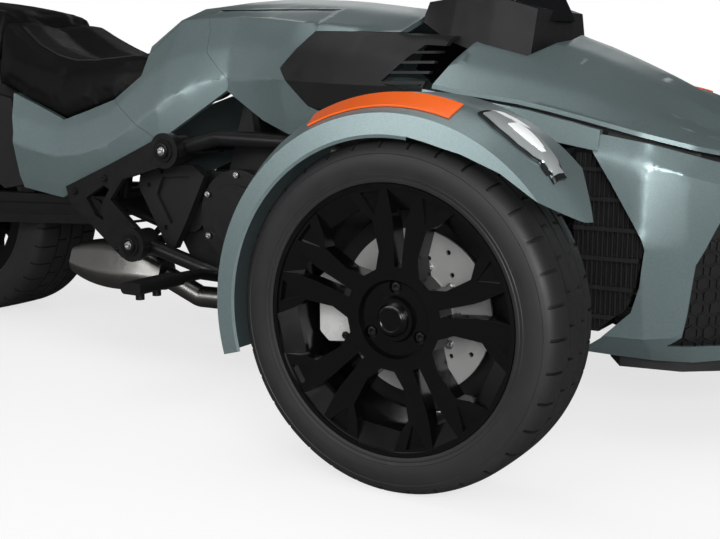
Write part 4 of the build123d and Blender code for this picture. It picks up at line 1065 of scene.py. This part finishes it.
@dataclass
class Cushion:
    """Seat cover pulled over its foam: swollen a little, with double seams."""

    node: str
    voxel: float = 6.0
    swell: float = 5.0
    pressure: float = 4.0
    frames: int = 14
    # Each seam's points in plan, then the thread's radius, its distance from the seam's middle and its step
    seams: tuple = ()
    thread: float = 1.1
    apart: float = 3.0
    stitch: float = 9.0

    def build(self) -> Piece:
        """Remeshes a copy of the cushion, swells it as cloth and sews its seams.

        Returns:
            The cover.
        """
        piece = cad_copy(self.node, self.node + "_cover")
        modify(piece, "REMESH", mode="VOXEL", voxel_size=self.voxel * MM)
        modify(piece, "SMOOTH", factor=0.5, iterations=6)
        rest = [v.co.copy() for v in piece.data.vertices]
        self._swell(piece)
        for vertex, start in zip(piece.data.vertices, rest):
            move = vertex.co - start
            if move.length > self.swell * MM:
                vertex.co = start + move.normalized() * self.swell * MM
        modify(piece, "SMOOTH", factor=0.5, iterations=3)
        modify(piece, "SUBSURF", levels=1)
        smooth(piece, 80.0)
        paint(piece, SEAT_VINYL)
        body = frame["nodes"][self.node]["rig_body"]
        seat(piece, body, slot_of(self.node), self.node)
        self._sew(piece, body)
        return piece

    def _swell(self, piece: Piece) -> None:
        """Lets the cover swell under a small pressure, and keeps the shape that it takes.

        Args:
            piece: The cover.
        """
        activate(piece)
        cloth = piece.modifiers.new("cover", "CLOTH")
        cloth.settings.use_pressure = True
        cloth.settings.uniform_pressure_force = self.pressure
        cloth.settings.effector_weights.gravity = 0.0
        cloth.settings.tension_stiffness = cloth.settings.compression_stiffness = 12.0
        cloth.settings.quality = 4
        scene = bpy.context.scene
        cloth.point_cache.frame_start, cloth.point_cache.frame_end = 1, self.frames
        for number in range(1, self.frames + 1):
            scene.frame_set(number)
        bpy.ops.object.modifier_apply(modifier=cloth.name)
        scene.frame_set(1)

    def _sew(self, cover: Piece, body: str) -> None:
        """Lays two threads side by side on the cover along each seam.

        Args:
            cover: The finished cover.
            body: Body that the cover rides on.
        """
        tree = surface(cover)
        threads = []
        for seam in self.seams:
            for shift in (-self.apart, self.apart):
                points = []
                for (x0, y0), (x1, y1) in zip(seam, seam[1:]):
                    along = Vector((x1 - x0, y1 - y0, 0))
                    side = Vector((-along.y, along.x, 0)).normalized() * shift
                    count = max(2, round(along.length / self.stitch))
                    for i in range(count):
                        place = (Vector((x0, y0, 0)) + along * i / count + side) * MM
                        hit = tree.ray_cast(place + Vector((0, 0, 1.2)), Vector((0, 0, -1)))[0]
                        if hit:
                            points.append(hit)
                if len(points) > 3:
                    threads.append(cord(self.node + "_thread", points, self.thread))
        if threads:
            piece = join(threads, self.node + "_seams")
            smooth(piece, 60.0)
            paint(piece, THREAD)
            seat(piece, body, slot_of(self.node))


def cord(name: str, points: Sequence[Vector], radius_mm: float) -> Piece:
    """Draws a round thread through points on a surface.

    Args:
        name: Name of the piece.
        points: Points that it follows, in metres.
        radius_mm: Its radius.

    Returns:
        The thread as a mesh.
    """
    data = bpy.data.curves.new(name, "CURVE")
    data.dimensions = "3D"
    data.bevel_depth = radius_mm * MM
    data.bevel_resolution = 2
    line = data.splines.new("POLY")
    line.points.add(len(points) - 1)
    for point, place in zip(line.points, points):
        point.co = (*place, 1.0)
    piece = bpy.data.objects.new(name, data)
    bpy.context.scene.collection.objects.link(piece)
    activate(piece)
    bpy.ops.object.convert(target="MESH")
    return bpy.context.object


@dataclass
class RearWheel:
    """Belt-driven rear wheel."""

    axle: Vector = field(default_factory=lambda: Vector((-0.908, 0.0, 0.303)))
    tyre_r: float = 303.0
    tyre_wide: float = 225.0
    bead_r: float = 214.0

    def build(self) -> None:
        """Dresses the wheel and adds its tyre."""
        Tyre("tyre_rear", "rear_wheel", self.axle, self.tyre_r, self.tyre_wide, self.bead_r).build()
        dress("rim_rear", bevel_mm=1.6)
        dress("brake_disc_rear", REAR_DISC, 0.6)


@dataclass
class Chassis:
    """Frame, plates, arms, power unit and everything bolted to them."""

    # Nodes with the width of their rounded edges
    nodes: tuple = (("main_frame", 1.2), ("side_plates", 2.5), ("a_arms", 1.0), ("shocks", 0.8), ("steering_link", 0.8),
                    ("foot_pegs", 1.5), ("swing_arm", 2.0), ("belt_drive", 0.8), ("engine", 3.0), ("engine_trim", 2.0),
                    ("exhaust", 1.0))
    # Frame bosses: x and z, the face that their caps sit on, and the bolt's step out from the cap's seat
    bosses: tuple = ((-17.0, 490.0), (-123.0, 273.0))
    boss_face: float = 299.0
    boss_step: float = 4.0
    # Ring of bolts on the round side cover: middle, radius and face
    cover: tuple = (125.0, 345.0)
    cover_r: float = 93.0
    cover_face: float = 226.0
    cover_bolts: int = 6
    # Dark bolts: x and z, face, head radius and height
    trim_bolts: tuple = (((-78, 438), (-118, 405), (-70, 310)), 228.0, 4.2, 5.0)
    plate_bolts: tuple = (((-300, 385), (-205, 420), (-170, 262)), 289.0, 7.0, 6.0)

    def build(self) -> None:
        """Dresses the pieces and sets their bolts."""
        for node, bevel in self.nodes:
            dress(node, ENGINE_DARK if node == "engine" else None, bevel)
        bright, dark = [], []
        for sign in (-1.0, 1.0):
            out = (0.0, sign, 0.0)
            for x, z in self.bosses:
                dark.append(Bolt((x, sign * self.boss_face, z), out, 17.0, 9.0, 24, 1.5))
                bright.append(Bolt((x, sign * (self.boss_face + self.boss_step), z), out, 8.0, 8.0))
            for index in range(self.cover_bolts):
                a = tau * (index + 0.5) / self.cover_bolts
                spot = (self.cover[0] + self.cover_r * cos(a), sign * self.cover_face,
                        self.cover[1] + self.cover_r * sin(a))
                bright.append(Bolt(spot, out, 5.0, 5.0))
            for places, face, head, height in (self.trim_bolts, self.plate_bolts):
                dark += [Bolt((x, sign * face, z), out, head, height) for x, z in places]
        fasten("bright_bolts", bright, ZINC, "chassis", "cast_aluminium")
        fasten("black_bolts", dark, DARK_ZINC, "chassis", "frame_black")


@dataclass
class NoseBody:
    """Painted nose with its honeycomb grilles, and the gutters under the lid's edges."""

    # Belt and nose edge beside the lid: x, height of the edge, distance out
    belt: tuple = ((642, 629, 326), (850, 594, 322), (984, 562, 322), (1065, 538, 302), (1130, 516, 262),
                   (1190, 496, 206))
    gutter_in: float = 46.0
    gutter_low: float = 30.0
    gutter_rise: float = 8.0
    gutter_wall: float = 4.0
    # Honeycomb of the front grilles: half a cell over its corners, wall and height
    cell_r: float = 15.0
    cell_wall: float = 2.0
    cell_high: float = 5.0
    # Share of a cell that is open, how far it is sunk, and what a spot needs to take one
    cell_open: float = 0.9
    cell_sunk: float = 0.4
    cell_fit: float = 0.9
    cell_spread: float = 40.0
    ray_from: float = 3000.0

    def build(self) -> None:
        """Dresses the nose, lays the gutters and fills the grilles."""
        dress("nose_shell", bevel_mm=0.8, angle=30.0, crisp=False)
        walls = []
        for sign in (-1, 1):
            wall = chain("gutter", [Vector((x, sign * (y - self.gutter_in), z - self.gutter_low)) * MM
                                    for x, z, y in self.belt])
            with editing(wall):
                bpy.ops.mesh.select_mode(type="EDGE")
                bpy.ops.mesh.select_all(action="SELECT")
                bpy.ops.mesh.extrude_region_move(TRANSFORM_OT_translate={
                    "value": (0, 0, (self.gutter_low + self.gutter_rise) * MM)})
            modify(wall, "SOLIDIFY", thickness=self.gutter_wall * MM, offset=0.0)
            walls.append(wall)
        gutter = join(walls, "lid_gutters")
        paint(gutter, BLACK_PLASTIC)
        seat(gutter, "chassis", "black_plastic")
        self._honeycomb()

    def _cell(self) -> Piece:
        """Makes one hexagonal cell at the origin, open towards +Z.

        Returns:
            The cell, to be copied.
        """
        bpy.ops.mesh.primitive_cylinder_add(vertices=6, radius=self.cell_r * MM, depth=self.cell_high * MM)
        cell = bpy.context.object
        with editing(cell):
            pick_faces(cell, lambda centre, normal: normal.z > 0.9)
            bpy.ops.mesh.inset(thickness=self.cell_wall * MM)
            bpy.ops.mesh.extrude_region_shrink_fatten(
                TRANSFORM_OT_shrink_fatten={"value": -self.cell_open * self.cell_high * MM})
        return cell

    def _honeycomb(self) -> None:
        """Stands hexagonal cells side by side on the front grilles, wherever a whole cell fits."""
        grilles = frame["nodes"]["front_grilles"]
        tree = surface(grilles)
        cell = self._cell()
        low, high = (Vector(f(v.co[i] for v in grilles.data.vertices) for i in range(3)) / MM for f in (min, max))
        wide, tall = sqrt(3) * self.cell_r, 1.5 * self.cell_r
        columns = int(high.y / wide) + 1
        corners = [self.cell_fit * self.cell_r * Vector((0, sin(a), cos(a))) for a in (tau * i / 6 for i in range(6))]
        cells = []
        for row in range(int((high.z - low.z) / tall) + 1):
            for column in range(-columns, columns + 1):
                middle = Vector((self.ray_from, (column + row % 2 / 2) * wide, low.z + row * tall))
                hits = [tree.ray_cast((middle + corner) * MM, Vector((-1, 0, 0))) for corner in (Vector(), *corners)]
                place, normal = hits[0][:2]
                if any(hit[0] is None or (hit[0] - place).length > self.cell_spread * MM for hit in hits):
                    continue
                other = duplicate(cell, "cell")
                other.matrix_world = (Matrix.Translation(place + normal * (self.cell_high / 2 - self.cell_sunk) * MM)
                                      @ normal.to_track_quat("Z", "Y").to_matrix().to_4x4())
                settle(other)
                cells.append(other)
        bpy.data.objects.remove(cell)
        piece = join(cells, "front_honeycomb")
        smooth(piece, 20.0)
        paint(piece, BLACK_PLASTIC)
        seat(piece, "chassis", "black_plastic")


@dataclass
class Studio:
    """Pale floor, soft light and the camera at the photograph's angle."""

    camera_at: tuple[float, float, float] = (1.66519, -2.22130, 0.65961)
    yaw_deg: float = 31.4726
    pitch_deg: float = 9.7692
    lens_mm: float = 57.258
    floor_m: float = 60.0
    fade_from_m: float = 1.2
    fade_to_m: float = 5.0
    bright: float = 0.7
    ambient: float = 0.24
    # Room that gloss sees: place on the ramp from just below the horizon to overhead, and its grey
    room: tuple = ((0.0, 0.3), (0.18, 0.46), (0.42, 0.34), (0.62, 0.12), (1.0, 0.14))
    far_side: float = 0.3
    floor_white: float = 0.93
    floor_gloss: float = 0.12
    # name, place, aimed at, width and height, power in watts
    boxes: tuple = (
        ("overhead_box", (0.2, -0.6, 3.2), (0.2, -0.1, 0.3), (2.6, 1.6), 22.0),
        ("side_box", (-0.5, -3.6, 1.5), (0.0, -0.3, 0.5), (2.8, 0.9), 38.0),
        ("nose_box", (2.8, -3.0, 1.3), (0.2, -0.3, 0.5), (2.0, 1.2), 120.0),
        ("back_box", (-1.0, 3.4, 2.2), (0.0, 0.0, 0.5), (3.0, 1.4), 14.0),
    )

    def build(self) -> None:
        """Sets the view, the lamps, the world and the floor."""
        bpy.context.scene.view_settings.view_transform = "Standard"
        self._camera()
        self._lamps()
        self._world()
        self._floor()

    def _camera(self) -> None:
        """Adds the camera."""
        data = bpy.data.cameras.new("camera")
        data.lens = self.lens_mm
        data.sensor_width = 36.0
        data.sensor_fit = "HORIZONTAL"
        camera = bpy.data.objects.new("camera", data)
        camera.location = self.camera_at
        camera.rotation_euler = (radians(90 - self.pitch_deg), 0.0, radians(self.yaw_deg))
        bpy.context.scene.collection.objects.link(camera)
        bpy.context.scene.camera = camera

    def _lamps(self) -> None:
        """Adds the softboxes."""
        for name, place, target, size, power in self.boxes:
            data = bpy.data.lights.new(name, "AREA")
            data.shape = "RECTANGLE"
            data.size, data.size_y = size
            data.energy = power
            lamp = bpy.data.objects.new(name, data)
            lamp.location = place
            lamp.rotation_euler = (Vector(target) - Vector(place)).to_track_quat("-Z", "Y").to_euler()
            bpy.context.scene.collection.objects.link(lamp)

    def _seen(self, tree: bpy.types.NodeTree) -> Socket:
        """Adds a value of 1 for rays that see the background straight, in gloss or through glass.

        Args:
            tree: Node tree that takes the nodes.

        Returns:
            The value.
        """
        path = add_node(tree, "LightPath")
        first = add_node(tree, "Math", {0: path.outputs["Is Camera Ray"], 1: path.outputs["Is Glossy Ray"]},
                         operation="MAXIMUM")
        return add_node(tree, "Math", {0: first.outputs[0], 1: path.outputs["Is Transmission Ray"]},
                        operation="MAXIMUM").outputs[0]

    def _world(self) -> None:
        """Makes a white surround to look at, darker for gloss where the room behind the lamps would be."""
        world = bpy.data.worlds.new("studio")
        bpy.context.scene.world = world
        world.use_nodes = True
        tree = world.node_tree
        tree.nodes.clear()
        path = add_node(tree, "LightPath")
        up = add_node(tree, "SeparateXYZ", {0: add_node(tree, "TexCoord").outputs["Generated"]})
        room = add_node(tree, "ValToRGB", {0: add_node(tree, "MapRange", {
            "Value": up.outputs[2], "From Min": -0.2, "From Max": 1.0}).outputs[0]})
        ramp = room.color_ramp.elements
        for element, (position, value) in zip(ramp, (self.room[0], self.room[-1])):
            element.position, element.color = position, (value, value, value, 1)
        for position, value in self.room[1:-1]:
            ramp.new(position).color = (value, value, value, 1)
        away = add_node(tree, "MapRange", {"Value": up.outputs[1], "From Min": -0.3, "From Max": 0.4, "To Min": 1.0,
                                           "To Max": self.far_side})
        sides = add_node(tree, "MixRGB", {"Fac": 1.0, "Color1": room.outputs[0], "Color2": away.outputs[0]},
                         blend_type="MULTIPLY")
        gloss = add_node(tree, "MixRGB", {"Fac": path.outputs["Is Glossy Ray"], "Color1": (1, 1, 1, 1),
                                          "Color2": sides.outputs[0]})
        seen = add_node(tree, "Background", {0: gloss.outputs[0], 1: 1.0})
        lit = add_node(tree, "Background", {0: (1, 1, 1, 1), 1: self.ambient})
        both = add_node(tree, "MixShader", {0: self._seen(tree), 1: lit.outputs[0], 2: seen.outputs[0]})
        tree.links.new(both.outputs[0], add_node(tree, "OutputWorld").inputs[0])

    def _floor(self) -> None:
        """Lays a white floor that keeps the shadow and fades to plain white far out."""
        bpy.ops.mesh.primitive_circle_add(vertices=96, radius=self.floor_m / 2, fill_type="NGON")
        floor = bpy.context.object
        floor.name = "floor"
        made = bpy.data.materials.new("pale_floor")
        made.use_nodes = True
        tree = made.node_tree
        tree.nodes.clear()
        out = add_node(tree, "VectorMath", {0: add_node(tree, "TexCoord").outputs["Object"]}, operation="LENGTH")
        far = add_node(tree, "MapRange", {
            "Value": out.outputs["Value"], "From Min": self.fade_from_m, "From Max": self.fade_to_m,
            "To Min": self.bright, "To Max": 1.0},
            interpolation_type="SMOOTHSTEP")
        path = add_node(tree, "LightPath")
        seen = add_node(tree, "Math", {0: far.outputs[0], 1: path.outputs["Is Camera Ray"]}, operation="MULTIPLY")
        white, dark = ((grey, grey, grey, 1) for grey in (self.floor_white, self.floor_gloss))
        tone = add_node(tree, "MixRGB", {"Fac": path.outputs["Is Glossy Ray"], "Color1": white, "Color2": dark})
        lit = add_node(tree, "BsdfDiffuse", {"Color": tone.outputs[0]})
        plain = add_node(tree, "Emission", {"Color": (1, 1, 1, 1), "Strength": 1.0})
        both = add_node(tree, "MixShader", {0: seen.outputs[0], 1: lit.outputs[0], 2: plain.outputs[0]})
        tree.links.new(both.outputs[0], add_node(tree, "OutputMaterial").inputs[0])
        floor.data.materials.append(made)


# Seams in plan, in millimetres: along both sides of a seat and across the rider's one
SEAT_SEAMS = (
    ((-170, -150), (-300, -168), (-420, -172), (-520, -165), (-610, -140)),
    ((-170, 150), (-300, 168), (-420, 172), (-520, 165), (-610, 140)),
    ((-300, -160), (-318, -80), (-322, 0), (-318, 80), (-300, 160)),
)
PILLION_SEAMS = (
    ((-690, -120), (-800, -125), (-960, -95)),
    ((-690, 120), (-800, 125), (-960, 95)),
)

# Moulded skins that are evened out like the painted ones
EVENED = ("intake_pods",)


def main() -> None:
    """Builds the trike's sub-assemblies in order and dresses the CAD nodes that are left."""
    logging.basicConfig(level=logging.INFO, format="%(message)s")
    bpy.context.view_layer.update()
    Studio().build()
    FrontCorners().build()
    RearWheel().build()
    Chassis().build()
    Cushion("rider_seat", seams=SEAT_SEAMS).build()
    Cushion("pillion_seat", seams=PILLION_SEAMS).build()
    Headlamps().build()
    NoseBody().build()
    done = {name for piece in bpy.data.objects for name in piece.get("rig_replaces", [])}
    for node in sorted(set(frame["nodes"]) - done):
        dress(node, crisp=slot_of(node) != "body_paint" and node not in EVENED)


if __name__ == "__main__":
    main()
